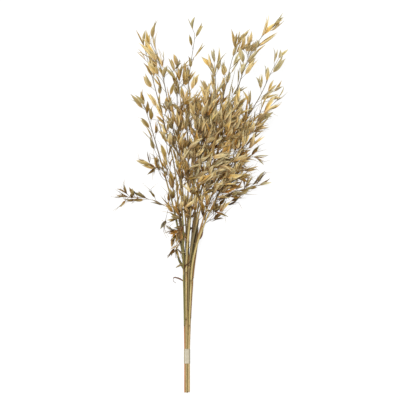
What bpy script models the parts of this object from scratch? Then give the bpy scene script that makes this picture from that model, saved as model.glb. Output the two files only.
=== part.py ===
"""Dried oats bundle: cut oat stems in a band of tape, lying on a table.

Metres, +Z up. The bundle lies along +Y with its cut ends towards -Y, and the
origin is on the table under the middle of the tape.
"""
import math
import random

import bmesh
import bpy
import numpy as np
from mathutils import Matrix, Vector

MM = 0.001

# The tie, and the culms packed in it in rows of equal length
CULM_WIDTH = 0.0019
CULM_GAP = 0.00035
COLUMNS = 4
ROW_SHIFT = 0.25
TAPE_HEIGHT = 0.024
TAPE_WALL = 0.0005
TAPE_GAP = 0.0003
TAPE_ARC_STEP = math.radians(24)
CUT_LENGTH = 0.0615
CUT_SPREAD = 0.0016

# Between the tie and the heads the stems spread: how far along the bundle, how much wider than in
# the tie, and how far to the right
NECK = (0.100, 1.6, 0.0012)
FORK = (0.165, 2.5, 0.0034)

# There the dry leaf sheaths wrap the culms, which makes them thicker than in the tie
NECK_WIDTH = 0.0025
FORK_WIDTH = 0.0032

# How high each row of stems rises from the table towards its heads
ROW_LIFT = (0.016, 0.043, 0.070)
LIFT_RUN = 0.440
LIFT_END = 1.25
LIFT_POWER = 1.3

# Rachis, branches and pedicels
PATH_SPACING = 0.047
HEAD_RADIUS = 0.00062
TIP_RADIUS = 0.00038
BRANCH_RADIUS = 0.00065
PEDICEL_RADIUS = 0.00055
STALK_FLATNESS = 0.6
PEDICEL_LENGTH = (0.005, 0.009)
PEDICEL_LEAN = math.radians(41)
BARE_FOOT = 0.25
TOP_PEDICEL = 0.0016
SHORTEST_REACH = 0.007
BENT_REACH = 0.016
REACH_POWER = 2.1
ROOT_LEAN = math.radians(58)
TIP_LEAN = (math.radians(22), math.radians(44))
BEND_SHARE = 0.45
FLATTENED = 0.8
GOLDEN_TURN = math.radians(137.5)
TIPWARD = 0.66
THINNING = 1.15

# Spikelets: their sway from the stem's course, and how much their own stalk or the stem leads them
SWAY = 0.14
TIP_LED_BY_STEM = 0.9
SIDE_LED_BY_STEM = 0.9
SPIKELET_LENGTH = (0.0210, 0.0300)
CLOSED_SHARE = 0.74
OPENING = (math.radians(18), math.radians(52))

# Husks: shares of the length with the radius there
CLOSED_HUSK = ((0.28, 0.0031), (0.62, 0.0025), (1.0, 0.000005))
GAPING_HUSK = ((0.36, 0.0027), (1.0, 0.000005))
TWIN_SINK = 0.0012
TWIN_ROOT_RADIUS = 0.0004

# Clearance: bars that stand for husks, the gap to neighbours and the lowest places over the table
HUSK_BAR = (0.12, 0.92)
HUSK_BAR_RADIUS = 0.0029
NEIGHBOUR_GAP = 0.0005
TABLE_STALK = 0.0009
TABLE_SPIKELET = 0.0020

# A branch that finds no room is tried again, turned, moved and shortened more each time
TRIES = 40
TURN_SWAY = (0.3, 2.5)
MOVE_SWAY = 0.012
SHORTENED = 0.45
THINNED = 0.5
SEED = 11
WELD = 0.00002
SHARP_EDGE = math.radians(35)

STRAW = (0.62, 0.50, 0.29, 1.0)
TAPE = (0.80, 0.76, 0.64, 1.0)

# One row for each stem: its place in the tie (row, column), then its route above the fork and the
# height along the bundle where its head of spikelets starts, in millimetres, then the number of side
# branches, the longest of them in millimetres, and the spikelets on the lowest one.
STEMS = (
    (0, 0, ((-20, 240), (-34, 295), (-50, 352), (-64, 400), (-74, 430)), 262, 11, 34, 2),
    (0, 1, ((-2, 225), (-9, 300), (-16, 400), (-17, 460), (-18, 496)), 225, 14, 44, 3),
    (0, 2, ((11, 225), (19, 300), (28, 386), (33, 430), (36, 450)), 225, 13, 46, 3),
    (0, 3, ((27, 220), (46, 262), (78, 330), (100, 376), (112, 400)), 225, 12, 46, 3),
    (1, 0, ((-12, 225), (-21, 320), (-38, 394), (-51, 445), (-73, 528)), 225, 15, 38, 3),
    (1, 1, ((1, 225), (2, 320), (0, 411), (4, 480), (13, 542), (10, 556)), 225, 14, 40, 3),
    (1, 2, ((14, 225), (30, 310), (52, 400), (68, 470), (78, 510), (88, 534)), 225, 15, 44, 3),
    (1, 3, ((25, 225), (60, 320), (96, 395), (125, 445), (142, 482), (156, 508)), 225, 14, 42, 3),
    (2, 0, ((-7, 225), (-15, 335), (-33, 437), (-47, 500), (-61, 532), (-59, 542)), 235, 15, 38, 3),
    (2, 1, ((4, 225), (15, 320), (34, 400), (48, 456), (46, 500)), 235, 13, 42, 3),
    (2, 2, ((16, 225), (42, 320), (74, 415), (96, 486), (120, 534), (148, 564)), 235, 15, 42, 3),
    (2, 3, ((29, 225), (56, 280), (86, 335), (108, 382), (130, 412)), 235, 13, 46, 3),
)

# Long low branches: the stem's number, the height along the bundle where it leaves, the place of its
# tip in millimetres, and its spikelets
REACHING = (
    (0, 244, (-100, 272, 16), 5),
    (0, 262, (-27, 238, 14), 1),
    (3, 248, (124, 292, 20), 4),
    (7, 292, (110, 344, 34), 3),
    (11, 262, (98, 284, 66), 3),
    (7, 395, (136, 420, 52), 2),
    (3, 222, (40, 236, 8), 3),
    (4, 292, (-62, 326, 40), 3),
    (8, 230, (-16, 212, 42), 2),
    (4, 200, (-19, 186, 24), 1),
    (11, 236, (46, 250, 52), 2),
    (7, 256, (80, 300, 44), 5),
    (3, 232, (74, 264, 14), 4),
    (11, 246, (88, 318, 70), 5),
)

REACHING_BEND = (0.25, 0.3)
REACHING_PIECES = 4

# Shrivelled leaves: the stem's number, the height where the leaf grows, its places from there in
# millimetres, and its width in millimetres
LEAVES = (
    (4, 146, ((-5, 9, 1), (-10, 19, 3), (-13, 30, 2)), 4.2),
    (4, 158, ((-7, -2, 3), (-16, -7, 2)), 2.6),
    (0, 128, ((-8, 5, 2), (-17, 7, 4), (-18, 0, 3), (-13, -3, 3)), 3.0),
    (8, 150, ((4, 5, 5), (9, 9, 6), (14, 15, 5)), 2.8),
    (11, 200, ((4, 8, 1), (7, 20, 2)), 2.8),
)
LEAF_SPACING = 0.009
LEAF_SECTION = (0.7, 0.28)
LEAF_TAPER = 0.6


def clear_scene():
    """Start from an empty file."""
    for item in list(bpy.data.objects):
        bpy.data.objects.remove(item)


def unit(vector):
    return vector / np.linalg.norm(vector)


def slot(row, column):
    """Middle of a culm in the tie: rows packed into each other's hollows."""
    pitch = CULM_WIDTH + CULM_GAP
    shift = ROW_SHIFT if row % 2 else -ROW_SHIFT
    across = (column - (COLUMNS - 1) / 2 + shift) * pitch
    height = TAPE_WALL + TAPE_GAP + CULM_WIDTH / 2 + row * pitch * math.sqrt(3) / 2
    return across, height


def lift(row, y):
    """Rise of a row above its place in the tie at a place along the bundle."""
    run = min(max((y - TAPE_HEIGHT / 2) / LIFT_RUN, 0), LIFT_END)
    return ROW_LIFT[row] * run ** LIFT_POWER


def thickness(y):
    """Radius of a culm with its leaf sheaths at a place along the bundle."""
    places = (TAPE_HEIGHT / 2, NECK[0], FORK[0])
    return np.interp(y, places, (CULM_WIDTH, NECK_WIDTH, FORK_WIDTH)) / 2


def stem_radii(path, first):
    """Thickness at each point of a stem: a culm up to its head, then a tapering rachis."""
    radii = []
    whole = run_length(path)
    for count, point in enumerate(path, start=1):
        share = (run_length(path[:count]) - first) / (whole - first)
        rachis = HEAD_RADIUS + (TIP_RADIUS - HEAD_RADIUS) * share
        radii.append(thickness(point[1]) if share <= 0 else rachis)
    return radii


def stem_knots(row, column, route, rng):
    """The points that a stem passes through, from its cut end to its tip."""
    across, height = slot(row, column)
    half = TAPE_HEIGHT / 2
    cut = -CUT_LENGTH - rng.uniform(-1, 1) * CUT_SPREAD
    places = [(across, cut), (across, -half), (across, half)]
    places += [(across * wider + right, y) for y, wider, right in (NECK, FORK)]
    places += [(x * MM, y * MM) for x, y in route]
    return [np.array((x, y, height + lift(row, y))) for x, y in places]


def smooth_run(knots, spacing):
    """Points about a spacing apart on a Catmull-Rom curve through the knots."""
    padded = [2 * knots[0] - knots[1]] + list(knots) + [2 * knots[-1] - knots[-2]]
    points = [knots[0]]
    for index in range(len(knots) - 1):
        a, b, c, d = padded[index:index + 4]
        pieces = max(1, round(np.linalg.norm(c - b) / spacing))
        for step in range(1, pieces + 1):
            t = step / pieces
            even = 2 * b + (c - a) * t
            bend = (2 * a - 5 * b + 4 * c - d) * t ** 2 + (3 * b - a - 3 * c + d) * t ** 3
            points.append((even + bend) / 2)
    return points


def place_along(points, distance):
    """Point and direction at a distance along a run of points."""
    for start, end in zip(points, points[1:]):
        length = np.linalg.norm(end - start)
        if distance <= length or end is points[-1]:
            share = min(distance / length, 1)
            return start + (end - start) * share, (end - start) / length
        distance -= length
    return points[-1], unit(points[-1] - points[-2])


def run_length(points):
    return sum(np.linalg.norm(b - a) for a, b in zip(points, points[1:]))


def length_at_height(points, y):
    """Distance along a stem at which it reaches a height along the bundle."""
    travelled = 0
    for start, end in zip(points, points[1:]):
        length = np.linalg.norm(end - start)
        if end[1] >= y:
            return travelled + length * (y - start[1]) / (end[1] - start[1])
        travelled += length
    return travelled


def off_the_table(point, clearance):
    """The same point, no lower than what lies on the table can be."""
    return np.array((point[0], point[1], max(point[2], clearance)))


def segment_gaps(start, end, starts, ends):
    """Shortest distances from one segment to many."""
    run = end - start
    runs = ends - starts
    offset = start - starts
    own = run @ run
    other = (runs * runs).sum(axis=1)
    cross = runs @ run
    along_own = offset @ run
    along_other = (runs * offset).sum(axis=1)
    spread = np.maximum(own * other - cross * cross, 1e-18)
    s = np.clip((cross * along_other - along_own * other) / spread, 0, 1)
    t = np.clip((cross * s + along_other) / other, 0, 1)
    s = np.clip((cross * t - along_own) / own, 0, 1)
    apart = offset + s[:, None] * run - t[:, None] * runs
    return np.linalg.norm(apart, axis=1)


class Room:
    """What is already taken: each stalk and glume as a rounded bar, with its culm's number."""

    def __init__(self):
        self.bars = np.zeros((0, 8))

    def add(self, bars, culm=-1):
        rows = [np.concatenate([start, end, (radius, culm)]) for start, end, radius in bars]
        self.bars = np.vstack([self.bars] + rows)

    def fits(self, bars, culm):
        """Whether the bars keep their gap; the first one may meet the culm that it grows from."""
        for index, (start, end, radius) in enumerate(bars):
            others = self.bars
            if index == 0:
                others = others[others[:, 7] != culm]
            apart = segment_gaps(start, end, others[:, 0:3], others[:, 3:6])
            if (apart - others[:, 6] - radius).min() < NEIGHBOUR_GAP:
                return False
        return True


def bent_run(root, bend, tip, pieces):
    """Points of a stalk that leaves its root towards the bend and turns to its tip."""
    shares = [step / pieces for step in range(pieces + 1)]
    points = [root * (1 - t) ** 2 + bend * 2 * t * (1 - t) + tip * t ** 2 for t in shares]
    return [root] + [off_the_table(point, TABLE_STALK) for point in points[1:]]


def spikelet_at(rng, base, axis):
    """One spikelet: where it starts, where it points, how it gapes, its length and opening."""
    length = rng.uniform(*SPIKELET_LENGTH)
    opening = 0 if rng.random() < CLOSED_SHARE else rng.uniform(*OPENING)
    base = off_the_table(base, TABLE_SPIKELET)
    axis = unit(off_the_table(base + axis * length, TABLE_STALK) - base)
    fan = np.cross(axis, [rng.gauss(0, 1) for _ in range(3)])
    return base, axis, unit(fan), length, opening


def sway(rng):
    return np.array([rng.gauss(0, SWAY) for _ in range(3)])


def sprigs_on(rng, along, run, count):
    """Stalks with their spikelets: a side branch with one at its tip, and pedicels up its side."""
    heading = unit(run[-1] - run[-2]) + along * TIP_LED_BY_STEM
    sprigs = [(run, spikelet_at(rng, run[-1], unit(heading + sway(rng))))]
    for index in range(1, count):
        foot, course = place_along(run, run_length(run) * (1 - index / (count + BARE_FOOT)))
        side = unit(np.cross(course, [rng.gauss(0, 1) for _ in range(3)]))
        away = course * math.cos(PEDICEL_LEAN) + side * math.sin(PEDICEL_LEAN)
        end = off_the_table(foot + away * rng.uniform(*PEDICEL_LENGTH), TABLE_SPIKELET)
        heading = away + along * SIDE_LED_BY_STEM
        sprigs.append(([foot, end], spikelet_at(rng, end, unit(heading + sway(rng)))))
    return sprigs


def glume_ways(spikelet):
    """Directions of a spikelet's glumes: one way when it is closed, two when it gapes."""
    _, axis, fan, _, opening = spikelet
    if opening == 0:
        return [axis]
    half = opening / 2
    return [axis * math.cos(half) + fan * math.sin(half) * side for side in (-1, 1)]


def bars_of(sprigs):
    """The rounded bars that stand for stalks and glumes where clearance is measured."""
    bars = []
    for stalk, spikelet in sprigs:
        bars += [(start, end, BRANCH_RADIUS) for start, end in zip(stalk, stalk[1:])]
        base, length = spikelet[0], spikelet[3]
        for way in glume_ways(spikelet):
            low, high = (base + way * length * share for share in HUSK_BAR)
            bars.append((low, high, HUSK_BAR_RADIUS))
    return bars


def side_branch(rng, room, number, path, distance, turn, reach, count):
    """A side branch that keeps clear of what already grew, or nothing where none fits."""
    for attempt in range(TRIES):
        ease = attempt / TRIES
        foot, along = place_along(path, distance + rng.uniform(-1, 1) * MOVE_SWAY * ease)
        across = unit(np.cross(along, (0, 0, 1)))
        upward = np.cross(across, along)
        angle = turn + rng.gauss(0, TURN_SWAY[0] + TURN_SWAY[1] * ease)
        out = across * math.cos(angle) + upward * math.sin(angle) * FLATTENED
        length = reach * (1 - SHORTENED * ease)
        lean = rng.uniform(*TIP_LEAN)
        tip = foot + (along * math.cos(lean) + out * math.sin(lean)) * length
        root_way = along * math.cos(ROOT_LEAN) + out * math.sin(ROOT_LEAN)
        pieces = 3 if count > 1 else 1 + (length > BENT_REACH)
        run = bent_run(foot, foot + root_way * length * BEND_SHARE, tip, pieces)
        sprigs = sprigs_on(rng, along, run, max(1, round(count * (1 - THINNED * ease))))
        if room.fits(bars_of(sprigs), number):
            room.add(bars_of(sprigs))
            return sprigs
    return []


def reaching_branch(rng, room, number, path, height, goal, count):
    """A long low branch that ends at a stated place, or near it."""
    foot, along = place_along(path, length_at_height(path, height * MM))
    for attempt in range(TRIES):
        spread = MOVE_SWAY * attempt / TRIES
        tip = np.array(goal) * MM + [rng.gauss(0, spread) for _ in range(3)]
        away = tip - foot
        bend = foot + along * np.linalg.norm(away) * REACHING_BEND[0] + away * REACHING_BEND[1]
        sprigs = sprigs_on(rng, unit(away), bent_run(foot, bend, tip, REACHING_PIECES), count)
        if room.fits(bars_of(sprigs), number):
            room.add(bars_of(sprigs))
            return sprigs
    return []


def lay_out():
    """Where everything of every stem lies: its path, its side branches and its spikelets."""
    rng = random.Random(SEED)
    room = Room()
    stems = []
    for number, (row, column, route, start, *_) in enumerate(STEMS):
        path = smooth_run(stem_knots(row, column, route, rng), PATH_SPACING)
        first = length_at_height(path, start * MM)
        radii = stem_radii(path, first)
        room.add(list(zip(path, path[1:], map(max, radii, radii[1:]))), number)
        stems.append({"path": path, "first": first, "radii": radii, "sprigs": []})
    for number, stem in enumerate(stems):
        tip, heading = place_along(stem["path"], run_length(stem["path"]))
        top = [([tip - heading * TOP_PEDICEL, tip], spikelet_at(rng, tip, heading))]
        room.add(bars_of(top))
        stem["sprigs"] += top
    for number, height, goal, count in REACHING:
        stem = stems[number]
        stem["sprigs"] += reaching_branch(rng, room, number, stem["path"], height, goal, count)
    for order in range(1, max(row[4] for row in STEMS)):
        for number, stem in enumerate(stems):
            branches, reach, low_count = STEMS[number][4:]
            if order >= branches:
                continue
            share = 1 - order / (branches - 1)
            whole = run_length(stem["path"])
            distance = stem["first"] + (whole - stem["first"]) * share ** TIPWARD
            length = SHORTEST_REACH + (reach * MM - SHORTEST_REACH) * (1 - share) ** REACH_POWER
            count = max(1, round(low_count * (1 - share * THINNING)))
            turn = order * GOLDEN_TURN + number
            stem["sprigs"] += side_branch(
                rng, room, number, stem["path"], distance, turn, length, count)
    return stems


def section(name, sides, width, height):
    """The cross-section that a stalk is swept with: a closed ring of points."""
    curve = bpy.data.curves.new(name, "CURVE")
    curve.dimensions = "2D"
    spline = curve.splines.new("POLY")
    spline.points.add(sides - 1)
    for index, point in enumerate(spline.points):
        angle = 2 * math.pi * (index + 0.5) / sides
        point.co = (width * math.cos(angle), height * math.sin(angle), 0, 1)
    spline.use_cyclic_u = True
    return add_object(name, curve)


def add_object(name, data):
    item = bpy.data.objects.new(name, data)
    bpy.context.scene.collection.objects.link(item)
    return item


def swept(name, points, radii, ring):
    """A stalk as a curve swept with a section, thinner or thicker by its points' radii."""
    curve = bpy.data.curves.new(name, "CURVE")
    curve.dimensions = "3D"
    curve.bevel_mode = "OBJECT"
    curve.bevel_object = ring
    curve.use_fill_caps = True
    spline = curve.splines.new("POLY")
    spline.points.add(len(points) - 1)
    for point, place, radius in zip(spline.points, points, radii):
        point.co = (*place, 1)
        point.radius = radius / MM
    return add_object(name, curve)


def curves_to_meshes(curves, lying=True):
    """Closed meshes in the curves' place, their caps welded on, pressed flat where they lie low."""
    graph = bpy.context.evaluated_depsgraph_get()
    made = []
    for curve in curves:
        mesh = bpy.data.meshes.new_from_object(curve.evaluated_get(graph))
        shape = bmesh.new()
        shape.from_mesh(mesh)
        bmesh.ops.remove_doubles(shape, verts=shape.verts, dist=WELD)
        bmesh.ops.recalc_face_normals(shape, faces=shape.faces)
        for vert in shape.verts:
            vert.co.z = max(vert.co.z, 0) if lying else vert.co.z
        shape.to_mesh(mesh)
        shape.free()
        piece = add_object(curve.name + "_mesh", mesh)
        piece.matrix_world = curve.matrix_world
        made.append(piece)
    for curve in curves:
        bpy.data.objects.remove(curve)
    return made


def husk(base, way, length, profile):
    """Points and radii of a husk that a stalk swells into."""
    points = [base + way * length * share for share, _ in profile]
    return points, [radius for _, radius in profile]


def sprig_curves(stalk, spikelet, ring):
    """A stalk that ends in a husk, and its twin husk where the spikelet gapes."""
    base, _, _, length, opening = spikelet
    ways = glume_ways(spikelet)
    points, radii = husk(base, ways[0], length, GAPING_HUSK if opening else CLOSED_HUSK)
    stalk_radii = [BRANCH_RADIUS] * (len(stalk) - 1) + [PEDICEL_RADIUS]
    curves = [swept("sprig", stalk + points, stalk_radii + radii, ring)]
    if opening:
        points, radii = husk(base, ways[1], length, GAPING_HUSK)
        root = base + unit(stalk[-2] - stalk[-1]) * TWIN_SINK
        curves.append(swept("twin", [root] + points, [TWIN_ROOT_RADIUS] + radii, ring))
    return curves


def drop_scraps(mesh):
    """Keep the largest body of a mesh, and drop what holds to nothing."""
    shape = bmesh.new()
    shape.from_mesh(mesh)
    unseen = set(shape.verts)
    bodies = []
    while unseen:
        body = [unseen.pop()]
        for vert in body:
            fresh = [edge.other_vert(vert) for edge in vert.link_edges]
            fresh = [other for other in fresh if other in unseen]
            unseen.difference_update(fresh)
            body += fresh
        bodies.append(body)
    bodies.sort(key=len, reverse=True)
    scraps = [vert for body in bodies[1:] for vert in body]
    bmesh.ops.delete(shape, geom=scraps, context="VERTS")
    shape.to_mesh(mesh)
    shape.free()


def fuse(body, pieces):
    """Grow the pieces together with the body in one union."""
    repeats = bpy.data.collections.new("Repeats")
    bpy.context.scene.collection.children.link(repeats)
    for piece in pieces:
        repeats.objects.link(piece)
        bpy.context.scene.collection.objects.unlink(piece)
    union = body.modifiers.new("Grown together", "BOOLEAN")
    union.operation = "UNION"
    union.operand_type = "COLLECTION"
    union.collection = repeats
    union.solver = "MANIFOLD"
    bpy.context.view_layer.objects.active = body
    bpy.ops.object.modifier_apply(modifier=union.name)
    for piece in list(repeats.objects):
        bpy.data.objects.remove(piece)
    bpy.data.collections.remove(repeats)
    drop_scraps(body.data)


def leaf_curve(stem, height, route, width, ring):
    """A shrivelled leaf as a strap, from its foot on the culm through places given from there."""
    foot, _ = place_along(stem["path"], length_at_height(stem["path"], height * MM))
    run = smooth_run([foot] + [foot + np.array(step) * MM for step in route], LEAF_SPACING)
    radii = [width * MM * (1 - LEAF_TAPER * index / len(run)) for index in range(len(run))]
    return swept("leaf", run, radii, ring)


def build_stem(number, stem, rings, material):
    """One grown stem: culm, rachis, branches, spikelets and leaf remnants as one body."""
    name = f"oat_stem_{number + 1:02d}"
    curves = [swept(name, stem["path"], stem["radii"], rings["culm"])]
    for stalk, spikelet in stem["sprigs"]:
        curves += sprig_curves(stalk, spikelet, rings["stalk"])
    for owner, height, route, width in LEAVES:
        if owner == number:
            curves.append(leaf_curve(stem, height, route, width, rings["leaf"]))
    body, *pieces = curves_to_meshes(curves)
    body.name = name
    fuse(body, pieces)
    finish_surface(body, material)
    return body


def taut_outline(reach):
    """The closed line that tape pulled tight makes round the culms, at a reach from their middles."""
    corners = [slot(0, 0), slot(0, COLUMNS - 1), slot(1, COLUMNS - 1), slot(2, COLUMNS - 1), slot(2, 0)]
    points = []
    for index, corner in enumerate(corners):
        before = Vector(corner) - Vector(corners[index - 1])
        after = Vector(corners[(index + 1) % len(corners)]) - Vector(corner)
        first = math.atan2(-before.x, before.y)
        last = math.atan2(-after.x, after.y)
        sweep = (last - first) % (2 * math.pi)
        steps = max(1, math.ceil(sweep / TAPE_ARC_STEP))
        for step in range(steps + 1):
            angle = first + sweep * step / steps
            points.append((corner[0] + reach * math.cos(angle), corner[1] + reach * math.sin(angle)))
    return points


def build_tape(material):
    """The band of tape: the taut outline round the culms, a wall thick and as tall as the tape."""
    curve = bpy.data.curves.new("tape_outline", "CURVE")
    curve.dimensions = "2D"
    curve.fill_mode = "BOTH"
    curve.extrude = TAPE_HEIGHT / 2
    inner = CULM_WIDTH / 2 + TAPE_GAP
    for reach in (inner + TAPE_WALL, inner):
        outline = taut_outline(reach)
        spline = curve.splines.new("POLY")
        spline.points.add(len(outline) - 1)
        for point, (across, height) in zip(spline.points, outline):
            point.co = (across, height, 0, 1)
        spline.use_cyclic_u = True
    line = add_object("tape_outline", curve)
    line.matrix_world = Matrix.Rotation(math.pi / 2, 4, "X")
    bpy.context.view_layer.update()
    band, = curves_to_meshes([line], lying=False)
    band.name = "tape_band"
    finish_surface(band, material)
    return band


def finish(name, colour, roughness):
    """A plain finish: colour, roughness and no metal."""
    material = bpy.data.materials.new(name)
    material.use_nodes = True
    shader = material.node_tree.nodes["Principled BSDF"]
    shader.inputs["Base Color"].default_value = colour
    shader.inputs["Roughness"].default_value = roughness
    shader.inputs["Metallic"].default_value = 0.0
    material.diffuse_color = colour
    return material


def finish_surface(piece, material):
    piece.data.materials.clear()
    piece.data.materials.append(material)
    piece.data.shade_smooth()
    piece.data.set_sharp_from_angle(angle=SHARP_EDGE)


def build():
    clear_scene()
    rings = {
        "culm": section("culm_section", 6, MM, MM),
        "stalk": section("stalk_section", 3, MM, MM * STALK_FLATNESS),
        "leaf": section("leaf_section", 4, MM * LEAF_SECTION[0], MM * LEAF_SECTION[1]),
    }
    straw = finish("dry_straw", STRAW, 0.7)
    stems = [build_stem(number, stem, rings, straw) for number, stem in enumerate(lay_out())]
    band = build_tape(finish("clear_tape", TAPE, 0.35))
    for ring in rings.values():
        bpy.data.objects.remove(ring)
    bundle = bpy.data.collections.new("Dried oats bundle")
    bpy.context.scene.collection.children.link(bundle)
    for piece in stems + [band]:
        bundle.objects.link(piece)
        bpy.context.scene.collection.objects.unlink(piece)


build()
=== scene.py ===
"""The looks of a dried oats bundle: cut oat stems with loose heads of papery husks, tied with tape
near their feet and laid on a pale table."""
import math
import random

import bpy
import numpy as np
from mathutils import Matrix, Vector


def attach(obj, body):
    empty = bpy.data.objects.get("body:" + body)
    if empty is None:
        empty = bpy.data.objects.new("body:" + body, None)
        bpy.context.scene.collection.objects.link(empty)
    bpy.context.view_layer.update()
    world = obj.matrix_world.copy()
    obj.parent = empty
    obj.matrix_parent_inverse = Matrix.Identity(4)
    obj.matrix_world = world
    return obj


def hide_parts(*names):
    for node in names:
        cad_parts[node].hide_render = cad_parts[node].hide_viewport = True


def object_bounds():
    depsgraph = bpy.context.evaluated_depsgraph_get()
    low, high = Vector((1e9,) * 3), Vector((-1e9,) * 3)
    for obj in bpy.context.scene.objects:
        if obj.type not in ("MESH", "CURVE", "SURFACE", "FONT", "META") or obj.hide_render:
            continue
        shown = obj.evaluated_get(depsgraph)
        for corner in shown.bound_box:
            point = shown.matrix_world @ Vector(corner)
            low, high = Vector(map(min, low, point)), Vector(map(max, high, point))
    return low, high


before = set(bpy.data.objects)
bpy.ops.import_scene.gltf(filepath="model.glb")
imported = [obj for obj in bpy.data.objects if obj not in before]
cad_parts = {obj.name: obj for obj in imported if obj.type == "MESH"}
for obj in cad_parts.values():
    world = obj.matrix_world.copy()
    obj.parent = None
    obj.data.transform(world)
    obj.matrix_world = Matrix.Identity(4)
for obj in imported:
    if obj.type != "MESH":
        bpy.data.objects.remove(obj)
solid_low, solid_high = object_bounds()

# The culms: twelve hollow straws, each grown as one stem and cut aslant at its foot. They are packed
# in three rows where the tape holds them. Higher up dry leaf sheaths wrap them, with a seam where the
# sheath laps over itself and a swollen joint where it grows, and the bare rachis runs on to the tip.
MM = 0.001
CULM_WIDTH = 0.0019
CULM_GAP = 0.00035
COLUMNS = 4
ROW_SHIFT = 0.25
TAPE_HEIGHT = 0.024
TAPE_WALL = 0.0005
TAPE_GAP = 0.0003
CUT_LENGTH = 0.0615
CUT_SPREAD = 0.0016
NECK = (0.100, 1.6, 0.0012)
FORK = (0.165, 2.5, 0.0034)
NECK_WIDTH = 0.0025
FORK_WIDTH = 0.0032
ROW_LIFT = (0.016, 0.043, 0.070)
LIFT_RUN = 0.440
LIFT_END = 1.25
LIFT_POWER = 1.3
PATH_SPACING = 0.047
HEAD_RADIUS = 0.00062
TIP_RADIUS = 0.00038
GROWTH_SEED = 11

# One row for each stem: its place in the tie (row, column), then its route above the fork and the
# height along the bundle where its head of spikelets starts, in millimetres, then the number of side
# branches, the longest of them in millimetres, and the spikelets on the lowest one.
STEMS = (
    (0, 0, ((-20, 240), (-34, 295), (-50, 352), (-64, 400), (-74, 430)), 262, 11, 34, 2),
    (0, 1, ((-2, 225), (-9, 300), (-16, 400), (-17, 460), (-18, 496)), 225, 14, 44, 3),
    (0, 2, ((11, 225), (19, 300), (28, 386), (33, 430), (36, 450)), 225, 13, 46, 3),
    (0, 3, ((27, 220), (46, 262), (78, 330), (100, 376), (112, 400)), 225, 12, 46, 3),
    (1, 0, ((-12, 225), (-21, 320), (-38, 394), (-51, 445), (-73, 528)), 225, 15, 38, 3),
    (1, 1, ((1, 225), (2, 320), (0, 411), (4, 480), (13, 542), (10, 556)), 225, 14, 40, 3),
    (1, 2, ((14, 225), (30, 310), (52, 400), (68, 470), (78, 510), (88, 534)), 225, 15, 44, 3),
    (1, 3, ((25, 225), (60, 320), (96, 395), (125, 445), (142, 482), (156, 508)), 225, 14, 42, 3),
    (2, 0, ((-7, 225), (-15, 335), (-33, 437), (-47, 500), (-61, 532), (-59, 542)), 235, 15, 38, 3),
    (2, 1, ((4, 225), (15, 320), (34, 400), (48, 456), (46, 500)), 235, 13, 42, 3),
    (2, 2, ((16, 225), (42, 320), (74, 415), (96, 486), (120, 534), (148, 564)), 235, 15, 42, 3),
    (2, 3, ((29, 225), (56, 280), (86, 335), (108, 382), (130, 412)), 235, 13, 46, 3),
)


def unit(vector):
    return vector / np.linalg.norm(vector)


def slot(row, column):
    """Middle of a culm in the tie: rows packed into each other's hollows."""
    pitch = CULM_WIDTH + CULM_GAP
    shift = ROW_SHIFT if row % 2 else -ROW_SHIFT
    across = (column - (COLUMNS - 1) / 2 + shift) * pitch
    height = TAPE_WALL + TAPE_GAP + CULM_WIDTH / 2 + row * pitch * math.sqrt(3) / 2
    return across, height


def lift(row, y):
    """Rise of a row above its place in the tie at a place along the bundle."""
    run = min(max((y - TAPE_HEIGHT / 2) / LIFT_RUN, 0), LIFT_END)
    return ROW_LIFT[row] * run ** LIFT_POWER


def thickness(y):
    """Radius of a culm with its leaf sheaths at a place along the bundle."""
    places = (TAPE_HEIGHT / 2, NECK[0], FORK[0])
    return np.interp(y, places, (CULM_WIDTH, NECK_WIDTH, FORK_WIDTH)) / 2


def stem_knots(row, column, route, rng):
    """The points that a stem passes through, from its cut end to its tip."""
    across, height = slot(row, column)
    half = TAPE_HEIGHT / 2
    cut = -CUT_LENGTH - rng.uniform(-1, 1) * CUT_SPREAD
    places = [(across, cut), (across, -half), (across, half)]
    places += [(across * wider + right, y) for y, wider, right in (NECK, FORK)]
    places += [(x * MM, y * MM) for x, y in route]
    return [np.array((x, y, height + lift(row, y))) for x, y in places]


def smooth_run(knots, spacing):
    """Points about a spacing apart on a Catmull-Rom curve through the knots."""
    padded = [2 * knots[0] - knots[1]] + list(knots) + [2 * knots[-1] - knots[-2]]
    points = [knots[0]]
    for index in range(len(knots) - 1):
        a, b, c, d = padded[index:index + 4]
        pieces = max(1, round(np.linalg.norm(c - b) / spacing))
        for step in range(1, pieces + 1):
            t = step / pieces
            even = 2 * b + (c - a) * t
            bend = (2 * a - 5 * b + 4 * c - d) * t ** 2 + (3 * b - a - 3 * c + d) * t ** 3
            points.append((even + bend) / 2)
    return points


def run_length(points):
    return sum(np.linalg.norm(b - a) for a, b in zip(points, points[1:]))


def length_at_height(points, y):
    """Distance along a stem at which it reaches a height along the bundle."""
    travelled = 0
    for start, end in zip(points, points[1:]):
        length = np.linalg.norm(end - start)
        if end[1] >= y:
            return travelled + length * (y - start[1]) / (end[1] - start[1])
        travelled += length
    return travelled


def stem_radii(path, first):
    """Thickness at each point of a stem: a culm up to its head, then a tapering rachis."""
    radii = []
    whole = run_length(path)
    for count, point in enumerate(path, start=1):
        share = (run_length(path[:count]) - first) / (whole - first)
        rachis = HEAD_RADIUS + (TIP_RADIUS - HEAD_RADIUS) * share
        radii.append(thickness(point[1]) if share <= 0 else rachis)
    return radii


growth = random.Random(GROWTH_SEED)
FINE_SPACING = 0.005
stems = []
for row, column, route, start, *_ in STEMS:
    knots = stem_knots(row, column, route, growth)
    path = smooth_run(knots, PATH_SPACING)
    first = length_at_height(path, start * MM)
    stems.append({
        "path": path, "first": first, "radii": stem_radii(path, first), "sprigs": [],
        "fine": np.array(smooth_run(knots, FINE_SPACING))})


def placed(name, data, location):
    """A new object that stands in the scene."""
    item = bpy.data.objects.new(name, data)
    item.location = location
    bpy.context.scene.collection.objects.link(item)
    return item


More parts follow.
